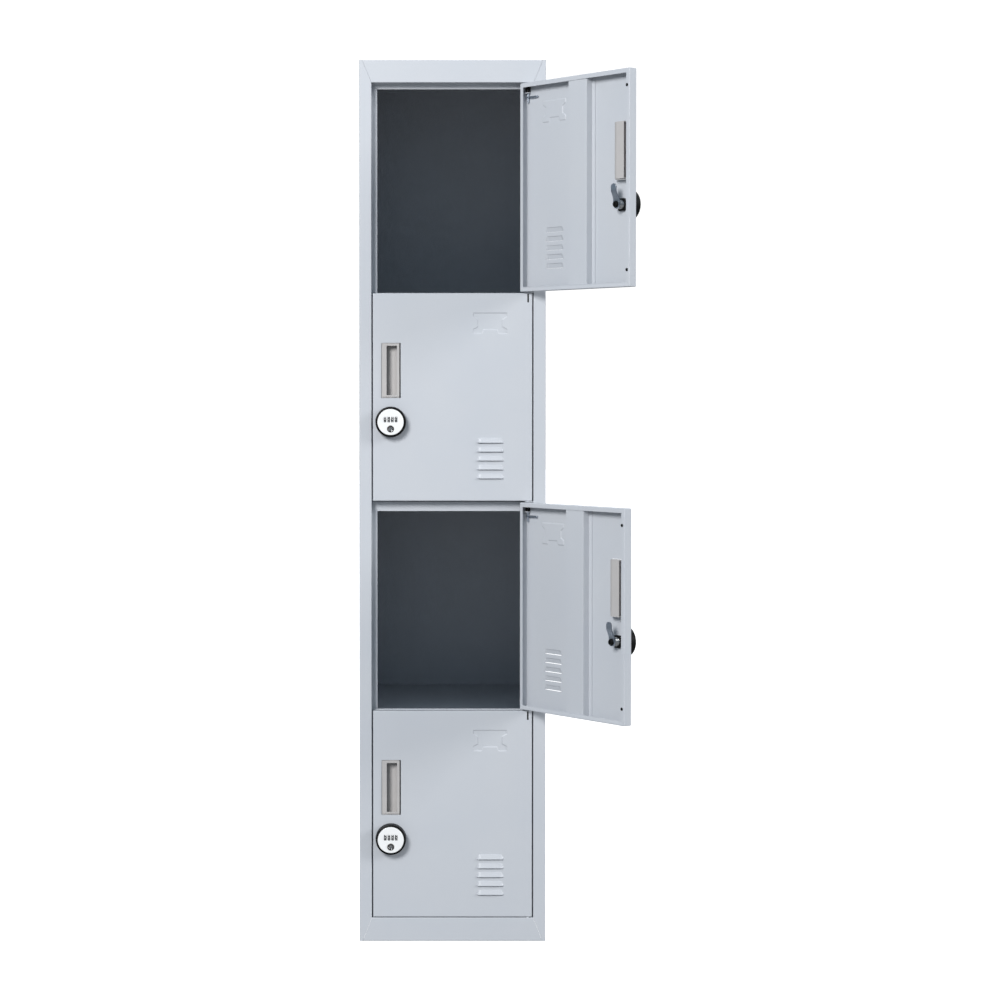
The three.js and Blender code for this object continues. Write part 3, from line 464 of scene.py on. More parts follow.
def pressed_skin(x_stops, z_stops):
    """The skin's points and faces, open in the slots, and its outermost points in order."""
    x, z = np.meshgrid(x_stops, z_stops)
    label = [(LABEL_X + u, LABEL_Z + v) for u, v in LABEL_OUTLINE]
    recess = LABEL_RECESS * eased((inside_distance(x, z, label) + LABEL_DRAFT / 2) / LABEL_DRAFT)
    y = recess - louvre_relief(x, z)
    vertices = list(zip(x.ravel(), y.ravel(), z.ravel()))
    columns, rows = len(x_stops), len(z_stops)
    faces = []
    for row in range(rows - 1):
        for column in range(columns - 1):
            middle_x = (x_stops[column] + x_stops[column + 1]) / 2
            middle_z = (z_stops[row] + z_stops[row + 1]) / 2
            if not in_slot(middle_x, middle_z):
                a = row * columns + column
                faces.append((a, a + 1, a + 1 + columns, a + columns))
    ring = [*range(columns - 1)]
    ring += [row * columns + columns - 1 for row in range(rows - 1)]
    ring += [rows * columns - 1 - i for i in range(columns - 1)]
    ring += [(rows - 1 - row) * columns for row in range(rows - 1)]
    return vertices, faces, ring


def fold_section():
    """The fold and the lip at a door's edge, as (distance in from the edge, depth) points."""
    radius = FOLD_RADIUS
    folds = ellipse_arc(radius, radius, radius, radius, 270, 180, FOLD_STEPS)[1:]
    folds += ellipse_arc(radius, DOOR_BACK - radius, radius, radius, 180, 90, FOLD_STEPS)
    return [*folds, (LIP_WIDTH, DOOR_BACK)]


def door_sheet():
    """The folded pan as a surface without thickness, with its louvres and label recess."""
    vertices, faces, ring = pressed_skin(*skin_grid())
    edge = FOLD_RADIUS
    outline = [(vertices[i][0], vertices[i][2]) for i in ring]
    for inset, depth in fold_section():
        start = len(vertices)
        for u, v in outline:
            on_side = abs(abs(u) - (DOOR_HALF_WIDTH - edge)) < ON_EDGE
            on_end = min(abs(v - edge), abs(v - DOOR_HEIGHT + edge)) < ON_EDGE
            new_u = math.copysign(DOOR_HALF_WIDTH - inset, u) if on_side else u
            new_v = (inset if v < DOOR_HEIGHT / 2 else DOOR_HEIGHT - inset) if on_end else v
            vertices.append((new_u, depth, new_v))
        new_ring = list(range(start, len(vertices)))
        for i, here in enumerate(ring):
            after = (i + 1) % len(ring)
            faces.append((ring[after], here, new_ring[i], new_ring[after]))
        ring = new_ring
    return mesh_of(vertices, faces, outward=False)


def door_holes():
    """Shapes that cut the door's holes: for the pin, the collar, the lock, the pull and the buffers."""
    pin_hole = circle(PIVOT_X, PIVOT_Y, PIN_HOLE_RADIUS, 32)
    collar_hole = circle(PIVOT_X, PIVOT_Y, COLLAR_HOLE_RADIUS, 32)
    lock_hole = circle(LOCK_X, LOCK_Z, BARREL_RADIUS + LOCK_HOLE_GAP, 48)
    pull_hole = filleted(rectangle(
        PULL_X - PULL_BOX_HALF_WIDTH - PULL_HOLE_GAP,
        PULL_X + PULL_BOX_HALF_WIDTH + PULL_HOLE_GAP,
        PULL_Z - PULL_BOX_HALF_HEIGHT - PULL_HOLE_GAP,
        PULL_Z + PULL_BOX_HALF_HEIGHT + PULL_HOLE_GAP,
    ), 0.5, 3)
    holes = [
        prism("z", pin_hole, GUIDE_BOX[2][0] - PAST, DOOR_HEIGHT + PAST),
        prism("z", collar_hole, -PAST, SHEET + PAST),
        prism("y", lock_hole, -PAST, SHEET + PAST),
        prism("y", pull_hole, -PAST, SHEET + PAST),
    ]
    for z_hole in (BUFFER_HOLE_INSET, DOOR_HEIGHT - BUFFER_HOLE_INSET):
        hole = circle(BUFFER_HOLE_X, z_hole, BUFFER_HOLE_RADIUS, 24)
        holes.append(prism("y", hole, DOOR_BACK - SHEET - OVERLAP, DOOR_BACK + PAST))
    return holes


def door_mesh():
    """The folded steel pan with its holes and guide plate, with Z from its bottom edge."""
    corners = {
        "width": LIP_CORNER_ROUND * MM,
        "segments": 3,
        "limit_method": "ANGLE",
        "angle_limit": math.radians(70),
    }
    sheet = {"thickness": SHEET * MM, "offset": -1, "use_even_offset": True}
    pan = modified(door_sheet(), ("BEVEL", corners), ("SOLIDIFY", sheet))
    pan = join(pan, block(*GUIDE_BOX))
    return softened(cut(pan, *door_holes()), SHEET_EDGE_ROUND, 2, 50)


# ---------------------------------------------------------------- the moulded pull


def pull_mesh():
    """The recessed pull, at its centre in X and Z."""
    rim_levels = []
    edge = PULL_RIM_ROUND
    for inset, depth in ellipse_arc(edge, edge, edge, edge, 270, 180, 5):
        rim_levels.append((PULL_FRONT + depth, inset))
    rim_levels.append((-SKIN_GAP, 0))
    rim = stack("y", [(y, filleted(rectangle(
        -PULL_HALF_WIDTH + inset,
        PULL_HALF_WIDTH - inset,
        -PULL_HALF_HEIGHT + inset,
        PULL_HALF_HEIGHT - inset,
    ), PULL_CORNER - inset, 8)) for y, inset in rim_levels])
    flat_left = -PULL_BOX_HALF_WIDTH
    curve = PULL_CURVE_START
    section = [
        (flat_left, -curve),
        *ellipse_arc(0, -curve, PULL_CASING_RIGHT, PULL_BACK + curve, 0, 90, 20),
        (flat_left, PULL_BACK),
    ]
    casing = prism("z", section, -PULL_BOX_HALF_HEIGHT, PULL_BOX_HALF_HEIGHT)
    hook_left = PULL_MOUTH_LEFT - PULL_HOOK_THICKNESS
    cavity = [
        *ellipse_arc(0, curve, PULL_MOUTH_RIGHT, PULL_CAVITY_BACK - curve, 0, 90, 20),
        (flat_left - PAST, PULL_CAVITY_BACK),
        (flat_left - PAST, PULL_LIP_BACK),
        (hook_left, PULL_LIP_BACK),
        (hook_left, PULL_HOOK_BACK),
        (PULL_MOUTH_LEFT, PULL_HOOK_BACK),
        (PULL_MOUTH_LEFT, curve),
    ]
    inner = prism("z", cavity, -PULL_MOUTH_HALF_HEIGHT, PULL_MOUTH_HALF_HEIGHT)
    mouth = prism("y", filleted(rectangle(
        PULL_MOUTH_LEFT, PULL_MOUTH_RIGHT, -PULL_MOUTH_HALF_HEIGHT, PULL_MOUTH_HALF_HEIGHT
    ), PULL_MOUTH_CORNER, 6), PULL_FRONT - PAST, curve + OVERLAP)
    return softened(cut(join(rim, casing), inner, mouth), 0.45, 3, 30)


# ---------------------------------------------------------------- the lock, about its own axis


def ring_mesh():
    """The black ring, a cup that the dial turns in."""
    corners = [
        (BARREL_RADIUS, RING_FLOOR),
        (RING_RECESS_RADIUS, RING_FLOOR),
        (RING_RECESS_RADIUS, RING_FRONT),
        (RING_RADIUS, RING_FRONT),
        (RING_RADIUS, -SKIN_GAP),
        (BARREL_RADIUS, -SKIN_GAP),
    ]
    return smoothed(turned_ring(filleted(corners, [0, 0.5, 0.5, 1.4, 0.5, 0.3]), 120))


def barrel_mesh():
    """The threaded barrel behind the door."""
    thread_start = 2.0
    pitch = 1.25
    depth = 0.45
    bore = SPINDLE_RADIUS + SPINDLE_GAP
    profile = [(bore, -SKIN_GAP), (BARREL_RADIUS - depth, -SKIN_GAP)]
    turns = int((BARREL_END - 1.0 - thread_start) / pitch)
    for i in range(turns):
        y = thread_start + i * pitch
        profile += [(BARREL_RADIUS - depth, y), (BARREL_RADIUS, y + pitch * 0.4)]
        profile += [(BARREL_RADIUS, y + pitch * 0.6), (BARREL_RADIUS - depth, y + pitch)]
    profile += [(BARREL_RADIUS - 1.0, BARREL_END), (bore, BARREL_END)]
    return smoothed(turned_ring(profile, 64), 20)


def nut_mesh():
    """A hexagon nut with its corners chamfered."""
    radius = (NUT_HIGH.x - NUT_LOW.x) / 2
    flats = radius * math.cos(math.radians(30))
    hexagon = circle(0, 0, radius, 6)
    body = prism("y", hexagon, NUT_LOW.y, NUT_HIGH.y)
    below = NUT_LOW.y - 0.5
    above = NUT_HIGH.y + 0.02
    chamfer = turned([
        (0, below),
        (radius + 1, below),
        (radius + 1, NUT_HIGH.y - NUT_CHAMFER),
        (flats - 0.5, above),
        (0, above),
    ])
    bore_radius = BARREL_RADIUS + TOUCH_GAP
    bore_end = NUT_HIGH.y + PAST
    bore = turned([(0, -PAST), (bore_radius, -PAST), (bore_radius, bore_end), (0, bore_end)])
    return softened(cut(keep(body, chamfer), bore), 0.25, 2, 30)


def knob_mesh():
    """The white dial with its four windows and the bore for the key cylinder."""
    profile = filleted([
        (0, KNOB_HIGH.y),
        (SPINDLE_RADIUS, KNOB_HIGH.y),
        (SPINDLE_RADIUS, KNOB_BACK),
        (KNOB_RADIUS, KNOB_BACK),
        (KNOB_RADIUS, KNOB_LOW.y),
        (0, KNOB_LOW.y),
    ], [0, 0.4, 0, 0.5, 0.9, 0], closed=False)
    disc = turned(profile, 120)
    tools = []
    for low, high in WHEEL_BOXES:
        x, y, z = [(a + b) / 2 for a, b in zip(low, high)]
        half = WHEEL_WINDOW_WIDTH / 2
        pocket = circle(y, z - LOCK_Z, WHEEL_WINDOW_RADIUS, 56)
        tools.append(prism("x", pocket, x - LOCK_X - half, x - LOCK_X + half))
    plug_z = (PLUG_LOW.z + PLUG_HIGH.z) / 2 - LOCK_Z
    bore_radius = (PLUG_HIGH.x - PLUG_LOW.x) / 2 + PLUG_SIDE_GAP
    bore = circle(0, plug_z, bore_radius, 64)
    tools.append(prism("y", bore, KNOB_LOW.y - PAST, PLUG_HIGH.y + PLUG_END_GAP))
    return softened(cut(disc, *tools), 0.3, 2, 40)


def plug_mesh():
    """The key cylinder with its keyway. Its second material is a dark colour on the ring round its face: painted
    shade, standing in for the shadow in the recess round the plug.
    """
    plug_z = (PLUG_LOW.z + PLUG_HIGH.z) / 2 - LOCK_Z
    radius = (PLUG_HIGH.x - PLUG_LOW.x) / 2
    front = PLUG_LOW.y
    recess = front + 0.7
    profile = filleted([
        (0, PLUG_HIGH.y),
        (radius, PLUG_HIGH.y),
        (radius, front),
        (radius - SLEEVE_WIDTH, front),
        (radius - SLEEVE_WIDTH - 0.5, recess),
        (0, recess),
    ], [0, 0.3, 0.4, 0.3, 0.3, 0], closed=False)
    half_width, half_height = KEYWAY_HALF_SIZE
    keyway = filleted(rectangle(-half_width, half_width, -half_height, half_height), 0.5, 4)
    plug = cut(turned(profile), prism("y", keyway, front - 1, front + KEYWAY_DEPTH))
    made = softened(plug, 0.15, 2, 40)
    # The ring round the face takes the dark second material: painted shade for the recess round the plug.
    for face in made.polygons:
        if math.hypot(face.center.x, face.center.z) > (radius - SLEEVE_WIDTH) * MM:
            face.material_index = 1
    made.transform(Matrix.Translation((0, 0, plug_z * MM)))
    return made


def cam_mesh():
    """The cam: a cranked steel lever with round ends."""
    tip = CAM_HIGH.z - LOCK_Z - CAM_TIP_RADIUS
    levels = []
    for i in range(1, CAM_END_STEPS + 1):
        angle = math.radians(-90 + 90 * i / CAM_END_STEPS)
        levels.append((CAM_HUB_RADIUS * math.sin(angle), CAM_HUB_RADIUS * math.cos(angle)))
    for i in range(1, CAM_SIDE_STEPS):
        share = i / CAM_SIDE_STEPS
        narrowing = (CAM_HUB_RADIUS - CAM_TIP_RADIUS) * float(eased(share / CAM_TAPER_END))
        levels.append((tip * share, CAM_HUB_RADIUS - narrowing))
    for i in range(CAM_END_STEPS):
        angle = math.radians(90 * i / CAM_END_STEPS)
        levels.append((tip + CAM_TIP_RADIUS * math.sin(angle), CAM_TIP_RADIUS * math.cos(angle)))
    crank = CAM_HIGH.y - CAM_LOW.y - CAM_THICKNESS
    rings = []
    for z, half_width in levels:
        share = (z - CAM_CRANK_START) / (CAM_CRANK_END - CAM_CRANK_START)
        y = CAM_LOW.y + crank * (0.5 * float(eased(share)) + 0.5 * min(max(share, 0), 1))
        rings.append((z, rectangle(-half_width, half_width, y, y + CAM_THICKNESS)))
    return softened(stack("z", rings), 0.35, 3, 40)


def screw_mesh():
    """The round screw that holds the cam on the spindle, with its hexagon socket."""
    base = KNOB_HIGH.y + TOUCH_GAP
    end = base + SCREW_HEIGHT
    corners = [(0, base), (SCREW_RADIUS, base), (SCREW_RADIUS, end), (0, end)]
    head = turned(filleted(corners, [0, 0.3, 1.4, 0], closed=False))
    hexagon = circle(0, 0, SCREW_SOCKET_RADIUS, 6)
    socket = prism("y", hexagon, base + SCREW_SOCKET_FLOOR, end + PAST)
    return softened(cut(head, socket), 0.2, 2, 40)


def digit_mesh(digit):
    """One raised digit, upright in X and Y."""
    text = bpy.data.curves.new("digit", "FONT")
    text.body = str(digit)
    text.size = DIGIT_SIZE * MM
    text.extrude = DIGIT_RELIEF * MM
    text.offset = DIGIT_BOLDNESS * MM
    text.resolution_u = 3
    text.align_x = "CENTER"
    text.align_y = "CENTER"
    holder = bpy.data.objects.new("digit", text)
    bpy.context.scene.collection.objects.link(holder)
    bpy.context.view_layer.update()
    made = bpy.data.meshes.new_from_object(
        holder.evaluated_get(bpy.context.evaluated_depsgraph_get())
    )
    bpy.data.objects.remove(holder)
    return made


def wheel_mesh():
    """A ten-sided wheel about the X axis, with a digit printed on each facet in a second material."""
    low, high = WHEEL_BOXES[0]
    half = (high.x - low.x) / 2
    first = 180 / WHEEL_FACETS  # a corner, so that a facet looks forward
    outline = ellipse_arc(0, 0, WHEEL_RADIUS, WHEEL_RADIUS, first, first + 360, WHEEL_FACETS)[:-1]
    body = softened(prism("x", filleted(outline, 0.8, 3), -half, half), 0.35, 2, 45)
    front = min(vertex.co.y for vertex in body.vertices)
    made = bmesh.new()
    made.from_mesh(body)
    body_faces = len(made.faces)
    for digit in range(WHEEL_FACETS):
        glyph = digit_mesh(digit)
        glyph.transform(
            Matrix.Rotation(math.tau * digit / WHEEL_FACETS, 4, "X")
            @ Matrix.Translation((0, front, 0))
            @ Matrix.Rotation(math.pi / 2, 4, "X")
        )
        made.from_mesh(glyph)
    made.faces.ensure_lookup_table()
    for face in made.faces[body_faces:]:
        face.material_index = 1
    mesh = bpy.data.meshes.new("wheel")
    made.to_mesh(mesh)
    made.free()
    return mesh


# ---------------------------------------------------------------- the pivot pin


def bush_mesh():
    """The black nylon bush that guides the pin below the door's top flange."""
    low = GUIDE_BOX[2][1] + TOUCH_GAP
    height = DOOR_HEIGHT - SHEET - RUNNING_GAP - low
    bore = PIN_RADIUS + RUNNING_GAP
    corners = [(bore, 0), (BUSH_RADIUS, 0), (BUSH_RADIUS, height), (bore, height)]
    bush = smoothed(turned_ring(filleted(corners, 0.5, 3), 48))
    place = Matrix.Translation(Vector((PIVOT_X, PIVOT_Y, low)) * MM)
    bush.transform(place @ Matrix.Rotation(math.pi / 2, 4, "X"))
    return bush


def buffer_mesh():
    """A rubber buffer pressed into a hole of the latch-side lip."""
    hole = BUFFER_HOLE_RADIUS
    lip_front = DOOR_BACK - SHEET - TOUCH_GAP
    lip_back = DOOR_BACK + TOUCH_GAP
    profile = filleted([
        (0, DOOR_BACK - 3.2),
        (hole + 0.5, DOOR_BACK - 3.2),
        (hole + 0.5, lip_front),
        (hole - 0.1, lip_front),
        (hole - 0.1, lip_back),
        (hole + 0.9, lip_back),
        (hole + 0.2, DOOR_BACK + 1.4),
        (0, DOOR_BACK + 1.5),
    ], [0, 0.3, 0.2, 0.1, 0.1, 0.3, 0.8, 0], closed=False)
    return smoothed(turned(profile, 40))


def pin_mesh():
    """The spring-steel pin with its cross arm, in the closed door's place."""
    def rod(length, radius):
        corners = [(0, 0), (radius, 0), (radius, length), (0, length)]
        return turned(filleted(corners, [0, 1.2, 1.2, 0], closed=False), 40)

    upright = rod(PIN_HIGH.z - PIN_LOW.z, PIN_RADIUS)
    upright.transform(
        Matrix.Translation(Vector((PIVOT_X, PIVOT_Y, PIN_LOW.z)) * MM)
        @ Matrix.Rotation(math.pi / 2, 4, "X")
    )
    arm = rod(PIN_HIGH.x - PIN_LOW.x, PIN_ARM_RADIUS)
    arm.transform(
        Matrix.Translation(Vector((PIN_LOW.x, PIVOT_Y, PIN_HIGH.z - PIN_RISE - PIN_ARM_DROP)) * MM)
        @ Matrix.Rotation(-math.pi / 2, 4, "Z")
    )
    return softened(join(upright, arm), 0.3, 3, 40)


# ---------------------------------------------------------------- materials


class Graph:
    """The nodes of one material, joined as they are made."""

    def __init__(self, name, **constants):
        self.material = bpy.data.materials.new(name)
        self.material.use_nodes = True
        self.tree = self.material.node_tree
        self.shader = self.tree.nodes["Principled BSDF"]
        self.place = self.add("ShaderNodeTexCoord").outputs["Object"]
        for socket, value in constants.items():
            self.shader.inputs[socket.replace("_", " ")].default_value = value

    def add(self, kind, settings=None, **values):
        node = self.tree.nodes.new(kind)
        for key, value in (settings or {}).items():
            setattr(node, key, value)
        for name, value in values.items():
            socket = node.inputs[name.replace("_", " ")]
            if isinstance(value, bpy.types.NodeSocket):
                self.tree.links.new(value, socket)
            else:
                socket.default_value = value
        return node

    def noise(self, size, detail=2.0, stretch=(1, 1, 1)):
        """Noise whose features are about size mm across, longer where stretch is larger."""
        mapping = self.add("ShaderNodeMapping", Vector=self.place, Scale=[1 / s for s in stretch])
        return self.add(
            "ShaderNodeTexNoise", Vector=mapping.outputs[0], Scale=1 / (size * MM), Detail=detail
        ).outputs[0]

    def spread(self, value, low, high, start=0.3, end=0.7):
        """The value from start to end, as a number from low to high."""
        values = {"Value": value, "From_Min": start, "From_Max": end, "To_Min": low, "To_Max": high}
        return self.add("ShaderNodeMapRange", **values).outputs[0]

    def mix(self, share, colour_a, colour_b):
        node = self.add("ShaderNodeMix", {"data_type": "RGBA"})
        for index, value in ((0, share), (6, colour_a), (7, colour_b)):
            if isinstance(value, bpy.types.NodeSocket):
                self.tree.links.new(value, node.inputs[index])
            else:
                node.inputs[index].default_value = value
        return node.outputs[2]

    def bump(self, height, depth, below=None):
        """A bump of depth mm from a height of 0 to 1, on top of another."""
        node = self.add("ShaderNodeBump", Height=height, Distance=depth * MM, Strength=1.0)
        if below is not None:
            self.tree.links.new(below, node.inputs["Normal"])
        return node.outputs[0]

    def use(self, **sockets):
        for name, value in sockets.items():
            self.tree.links.new(value, self.shader.inputs[name.replace("_", " ")])
        return self.material


def grey(level, red=1.0, green=1.0, blue=1.0):
    return (level * red, level * green, level * blue, 1.0)


def powder_coat():
    """Light grey powder coat: fine orange peel over faint waves in the sheet."""
    graph = Graph("powder_coat", IOR=1.5)
    cloud = graph.noise(160, 3)
    speck = graph.noise(1.1, 1)
    peel = graph.noise(1.6, 2)
    wave = graph.noise(70, 1)
    cool = (0.515, 0.537, 0.575, 1)
    warm = (0.530, 0.547, 0.578, 1)
    colour = graph.mix(graph.spread(cloud, 0, 1), cool, warm)
    colour = graph.mix(graph.spread(speck, 0, 0.05), colour, grey(0.9))
    normal = graph.bump(peel, 0.02, graph.bump(wave, 0.12))
    return graph.use(
        Base_Color=colour,
        Roughness=graph.spread(cloud, 0.40, 0.47),
        Normal=normal,
    )


def moulded(name, colour, other, roughness, grain, depth, **constants):
    """Moulded plastic with a fine spark-eroded grain, whose size and depth are in mm."""
    graph = Graph(name, **constants)
    cloud = graph.noise(30, 3)
    grains = graph.noise(grain, 2)
    return graph.use(
        Base_Color=graph.mix(graph.spread(cloud, 0, 1), colour, other),
        Roughness=graph.spread(grains, roughness - 0.05, roughness + 0.05),
        Normal=graph.bump(grains, depth),
    )


def plated(name, colour, other, roughness, stretch, **constants):
    """Plated steel with drawn lines and a mottled finish."""
    graph = Graph(name, Metallic=1.0, **constants)
    mottle = graph.noise(4, 4)
    lines = graph.noise(0.5, 2, stretch)
    return graph.use(
        Base_Color=graph.mix(graph.spread(mottle, 0, 1), colour, other),
        Roughness=graph.spread(mottle, roughness - 0.06, roughness + 0.08),
        Normal=graph.bump(lines, 0.01),
    )


def print_ink():
    graph = Graph("digit_print", Roughness=0.5)
    speck = graph.noise(0.4, 2)
    return graph.use(
        Base_Color=graph.mix(graph.spread(speck, 0, 1), grey(0.80), grey(0.9)),
        Normal=graph.bump(speck, 0.01),
    )


def studio_floor():
    """White studio floor, lit up for the eye so that it meets the backdrop without a line."""
    graph = Graph("studio_floor", Roughness=0.7)
    cloud = graph.noise(900, 3)
    fine = graph.noise(3, 2)
    graph.use(
        Base_Color=graph.mix(graph.spread(cloud, 0, 1), grey(0.22), grey(0.24)),
        Normal=graph.bump(fine, 0.05),
    )
    glow = graph.add("ShaderNodeEmission", Color=grey(1), Strength=1.05)
    lit = graph.add("ShaderNodeAddShader")
    graph.tree.links.new(graph.shader.outputs[0], lit.inputs[0])
    graph.tree.links.new(glow.outputs[0], lit.inputs[1])
    rays = graph.add("ShaderNodeLightPath")
    chosen = graph.add("ShaderNodeMixShader")
    graph.tree.links.new(rays.outputs["Is Camera Ray"], chosen.inputs[0])
    graph.tree.links.new(graph.shader.outputs[0], chosen.inputs[1])
    graph.tree.links.new(lit.outputs[0], chosen.inputs[2])
    graph.tree.links.new(chosen.outputs[0], graph.tree.nodes["Material Output"].inputs["Surface"])
    return graph.material


PAINT = powder_coat()
BEIGE = moulded(
    "beige_plastic", (0.485, 0.466, 0.456, 1), (0.462, 0.444, 0.434, 1),
    roughness=0.5, grain=0.5, depth=0.03,
)
BLACK = moulded(
    "black_plastic", grey(0.004), grey(0.006),
    roughness=0.45, grain=0.45, depth=0.012, Specular_IOR_Level=0.12,
)
WHITE = moulded(
    "white_plastic", grey(0.88), grey(0.85, 1, 1, 0.985),
    roughness=0.32, grain=0.6, depth=0.006, Coat_Weight=0.15,
)
ZINC = plated(
    "zinc_plate", (0.50, 0.545, 0.60, 1), (0.40, 0.45, 0.52, 1), roughness=0.36, stretch=(1, 1, 14)
)
CHROME = plated("chrome_plate", grey(0.50), grey(0.40), roughness=0.2, stretch=(1, 10, 1))
# Dark colour for the ring round the key cylinder's face: painted shade, standing in for the shadow in the recess
# round the plug.
SLEEVE_PAINTED_SHADE = plated(
    "sleeve_painted_shade", (0.05, 0.045, 0.042, 1), (0.09, 0.08, 0.075, 1), roughness=0.3, stretch=(1, 1, 6)
)
PRINT = print_ink()

# ---------------------------------------------------------------- the carried-over panels


def finish_panel(node):
    """Rounds the cut edges of a folded sheet and paints it."""
    panel = frame["nodes"][node]
    panel.data.materials.clear()
    panel.data.materials.append(PAINT)
    steps = (
        ("WELD", {"merge_threshold": 0.01 * MM}),
        ("DECIMATE", {"decimate_type": "DISSOLVE", "angle_limit": math.radians(0.5)}),
        ("BEVEL", {
            "width": 0.2 * MM,
            "segments": 2,
            "limit_method": "ANGLE",
            "angle_limit": math.radians(55),
        }),
        ("WEIGHTED_NORMAL", {"weight": 60}),
    )
    for kind, settings in steps:
        modifier = panel.modifiers.new(kind, kind)
        for key, value in settings.items():
            setattr(modifier, key, value)
    panel.data.shade_smooth()


for node in frame["record"]["behaviour"]["bodies"]["cabinet"]:
    finish_panel(node)
for number in DOORS:
    finish_panel(f"door_{number}_stiffener")

# ---------------------------------------------------------------- placing the pieces


def door_place(number):
    """Moves a closed door's shape to where that door stands."""
    hinge = joints[f"door_{number}_hinge"]
    pivot = Vector((hinge["pos_m"][0], hinge["pos_m"][1], 0))
    bottom = Vector((0, 0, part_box(f"door_{number}_shell")[0].z))
    turn = Matrix.Rotation(-math.radians(hinge["range_deg"][0]), 4, "Z")
    return Matrix.Translation(pivot) @ turn @ Matrix.Translation(bottom - pivot)


def add(name, mesh, place, body, slot, *nodes):
    """A piece with its place in a mesh of its own, which stands for those nodes of the frame."""
    placed = mesh.copy()
    placed.transform(place)
    piece = bpy.data.objects.new(name, placed)
    bpy.context.scene.collection.objects.link(piece)
    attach(piece, body)
    if nodes:
        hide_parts(*nodes)
    return piece


def painted(mesh, *materials):
    for material in materials:
        mesh.materials.append(material)
    return mesh


DOOR_MESH = painted(door_mesh(), PAINT)
PULL_MESH = painted(pull_mesh(), BEIGE)
PIN_MESH = painted(pin_mesh(), ZINC)
BUSH_MESH = painted(bush_mesh(), BLACK)
BUFFER_MESH = painted(buffer_mesh(), BLACK)
WHEEL_MESH = painted(wheel_mesh(), BLACK, PRINT)

# Parts about the lock's axis: name, mesh, body, slot and the frame's part that each stands for.
LOCK_PARTS = [
    ("lock_ring", painted(ring_mesh(), BLACK), "door", "black_plastic", "lock_housing"),
    ("lock_barrel", painted(barrel_mesh(), CHROME), "door", "chrome", None),
    ("hexagon_nut", painted(nut_mesh(), BLACK), "door", "black_plastic", "lock_nut"),
    ("dial", painted(knob_mesh(), WHITE), "lock", "white_plastic", "lock_knob"),
    ("cranked_cam", painted(cam_mesh(), ZINC), "lock", "zinc_steel", "cam_lever"),
    ("cam_screw", painted(screw_mesh(), BLACK), "lock", "black_plastic", None),
    ("key_cylinder", painted(plug_mesh(), CHROME, SLEEVE_PAINTED_SHADE), "key", "chrome", "key_plug"),
]

for number in DOORS:
    door = f"door_{number}"
    place = door_place(number)
    at_pull = place @ Matrix.Translation(Vector((PULL_X, 0, PULL_Z)) * MM)
    at_lock = place @ Matrix.Translation(Vector((LOCK_X, 0, LOCK_Z)) * MM)
    add(f"{door}_pressed_pan", DOOR_MESH, place, door, "body_paint", f"{door}_shell")
    add(f"{door}_moulded_pull", PULL_MESH, at_pull, door, "pull_plastic", f"{door}_pull")
    add(f"{door}_hinge_pin", PIN_MESH, place, f"pin_{number}", "zinc_steel", f"{door}_pivot_pin")
    add(f"{door}_pin_bush", BUSH_MESH, place, door, "black_plastic")
    for end, z_hole in (("upper", DOOR_HEIGHT - BUFFER_HOLE_INSET), ("lower", BUFFER_HOLE_INSET)):
        at_hole = place @ Matrix.Translation(Vector((BUFFER_HOLE_X, 0, z_hole)) * MM)
        add(f"{door}_{end}_buffer", BUFFER_MESH, at_hole, door, "black_plastic")
    for part, mesh, owner, slot, stands_for in LOCK_PARTS:
        nodes = [f"{door}_{stands_for}"] if stands_for else []
        add(f"{door}_{part}", mesh, at_lock, f"{owner}_{number}", slot, *nodes)
    for k, (low, high) in enumerate(WHEEL_BOXES, start=1):
        spin = Matrix.Rotation(math.tau * random.randrange(WHEEL_FACETS) / WHEEL_FACETS, 4, "X")
        at_wheel = place @ Matrix.Translation((low + high) / 2 * MM) @ spin
        wheel = f"wheel_{number}_{k}"
        node = f"{door}_digit_wheel_{k}"
        add(f"{door}_number_{wheel}", WHEEL_MESH, at_wheel, wheel, "black_plastic", node)

# ---------------------------------------------------------------- floor, light and camera

FLOOR_HALF_WIDTH = 30000.0  # mm
FLOOR_DROP = 0.5
CARD_HALF_WIDTH = 186.0
CARD_HEIGHTS = (60.0, 1790.0)
CARD_DEPTH = 26.0  # just behind the doors
CAMERA_PLACE = (-0.0129, -5.0133, 1.1284)  # m
CAMERA_TILT = math.radians(1.287)  # downwards
CAMERA_LENS = 88.48
CAMERA_SHIFT = (0.0538, -0.0545)


def sheet_of(name, corners, material):
    """A flat sheet of the studio, which isn't part of the locker."""
    mesh = painted(mesh_of(corners, [(0, 1, 2, 3)], outward=False), material)
    sheet = bpy.data.objects.new(name, mesh)
    bpy.context.scene.collection.objects.link(sheet)
    return sheet


floor_outline = rectangle(-FLOOR_HALF_WIDTH, FLOOR_HALF_WIDTH, -FLOOR_HALF_WIDTH, FLOOR_HALF_WIDTH)
floor = sheet_of("studio_floor", [(x, y, 0) for x, y in floor_outline], studio_floor())
floor.location.z = -FLOOR_DROP * MM

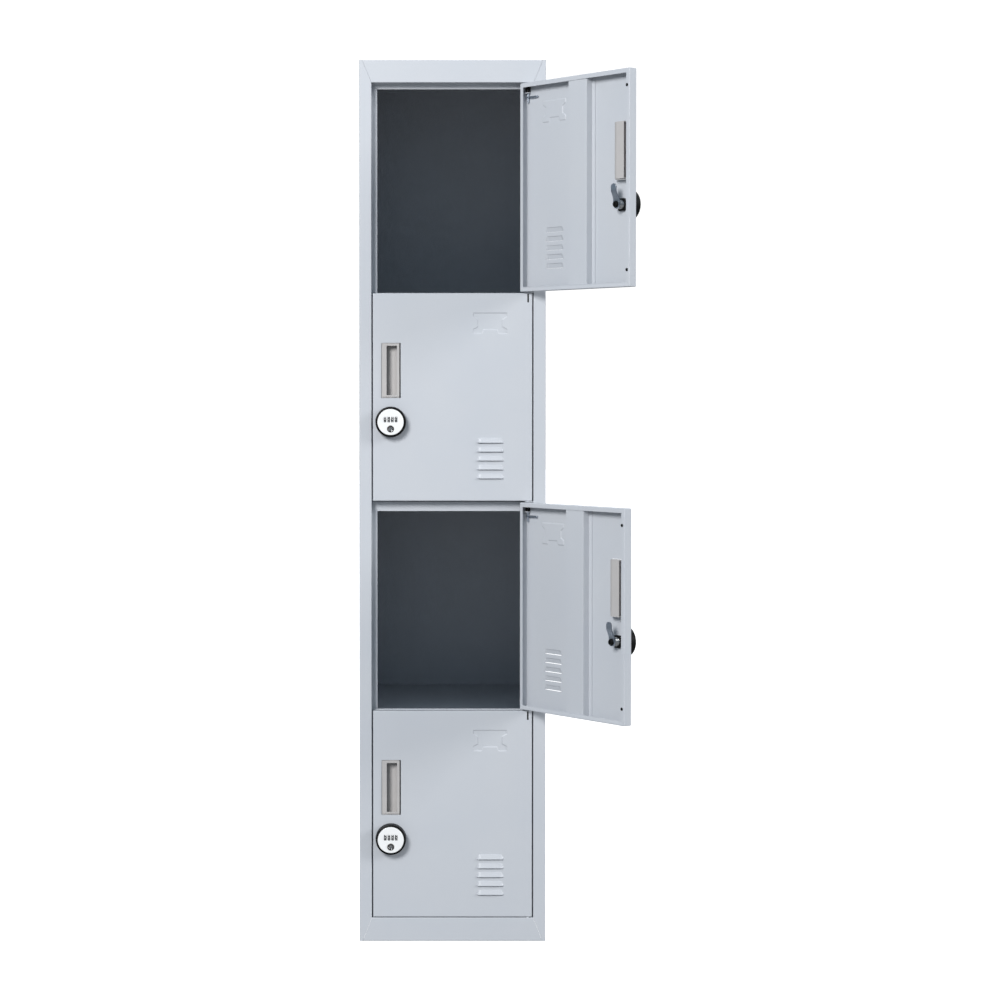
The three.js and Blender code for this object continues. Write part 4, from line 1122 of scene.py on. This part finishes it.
world = bpy.data.worlds.new("studio")
bpy.context.scene.world = world
world.use_nodes = True
sky = world.node_tree
ambient = sky.nodes["Background"]
ambient.inputs["Color"].default_value = (0.76, 0.93, 1.10, 1)
ambient.inputs["Strength"].default_value = 0.32
backdrop = sky.nodes.new("ShaderNodeBackground")
backdrop.inputs["Color"].default_value = (1, 1, 1, 1)
backdrop.inputs["Strength"].default_value = 1.1
rays = sky.nodes.new("ShaderNodeLightPath")
chosen = sky.nodes.new("ShaderNodeMixShader")
sky.links.new(rays.outputs["Is Camera Ray"], chosen.inputs[0])
sky.links.new(ambient.outputs[0], chosen.inputs[1])
sky.links.new(backdrop.outputs[0], chosen.inputs[2])
sky.links.new(chosen.outputs[0], sky.nodes["World Output"].inputs["Surface"])


def aimed(name, data, place, target):
    """Puts a light at a place, pointing at a target."""
    light = bpy.data.objects.new(name, data)
    light.location = place
    light.rotation_euler = (Vector(place) - Vector(target)).to_track_quat("Z", "Y").to_euler()
    bpy.context.scene.collection.objects.link(light)


def softbox(name, place, size, power):
    """A round lamp at a place, aimed at the middle of the locker."""
    data = bpy.data.lights.new(name, "AREA")
    data.shape = "DISK"
    data.size = size
    data.energy = power
    aimed(name, data, place, (0, 0, 0.9))


def sun(name, azimuth, elevation, strength, spread):
    """A soft distant light, in degrees round from the front, to the left where negative."""
    data = bpy.data.lights.new(name, "SUN")
    data.energy = strength
    data.angle = math.radians(spread)
    a, e = math.radians(azimuth), math.radians(elevation)
    aimed(name, data, (math.sin(a) * math.cos(e), -math.cos(a) * math.cos(e), math.sin(e)), (0, 0, 0))


softbox("key", place=(-2.80, -5.58, 4.08), size=2.6, power=432)
sun("right_fill", azimuth=70, elevation=20, strength=1.5, spread=20)
sun("rear_fill", azimuth=160, elevation=45, strength=1.3, spread=60)

# Black card just inside the openings, seen by no camera: it keeps the key light out of the compartments.
card_outline = rectangle(-CARD_HALF_WIDTH, CARD_HALF_WIDTH, *CARD_HEIGHTS)
card = sheet_of("studio_card", [(x, CARD_DEPTH, z) for x, z in card_outline], BLACK)
card.visible_camera = False
card.visible_diffuse = False
card.visible_glossy = False
card.visible_transmission = False

camera_data = bpy.data.cameras.new("camera")
camera_data.sensor_width = 36
camera_data.lens = CAMERA_LENS
camera_data.shift_x, camera_data.shift_y = CAMERA_SHIFT
camera = bpy.data.objects.new("camera", camera_data)
camera.location = CAMERA_PLACE
camera.rotation_euler = (math.pi / 2 - CAMERA_TILT, 0, 0)
bpy.context.scene.collection.objects.link(camera)
bpy.context.scene.camera = camera
bpy.context.scene.view_settings.view_transform = "Standard"
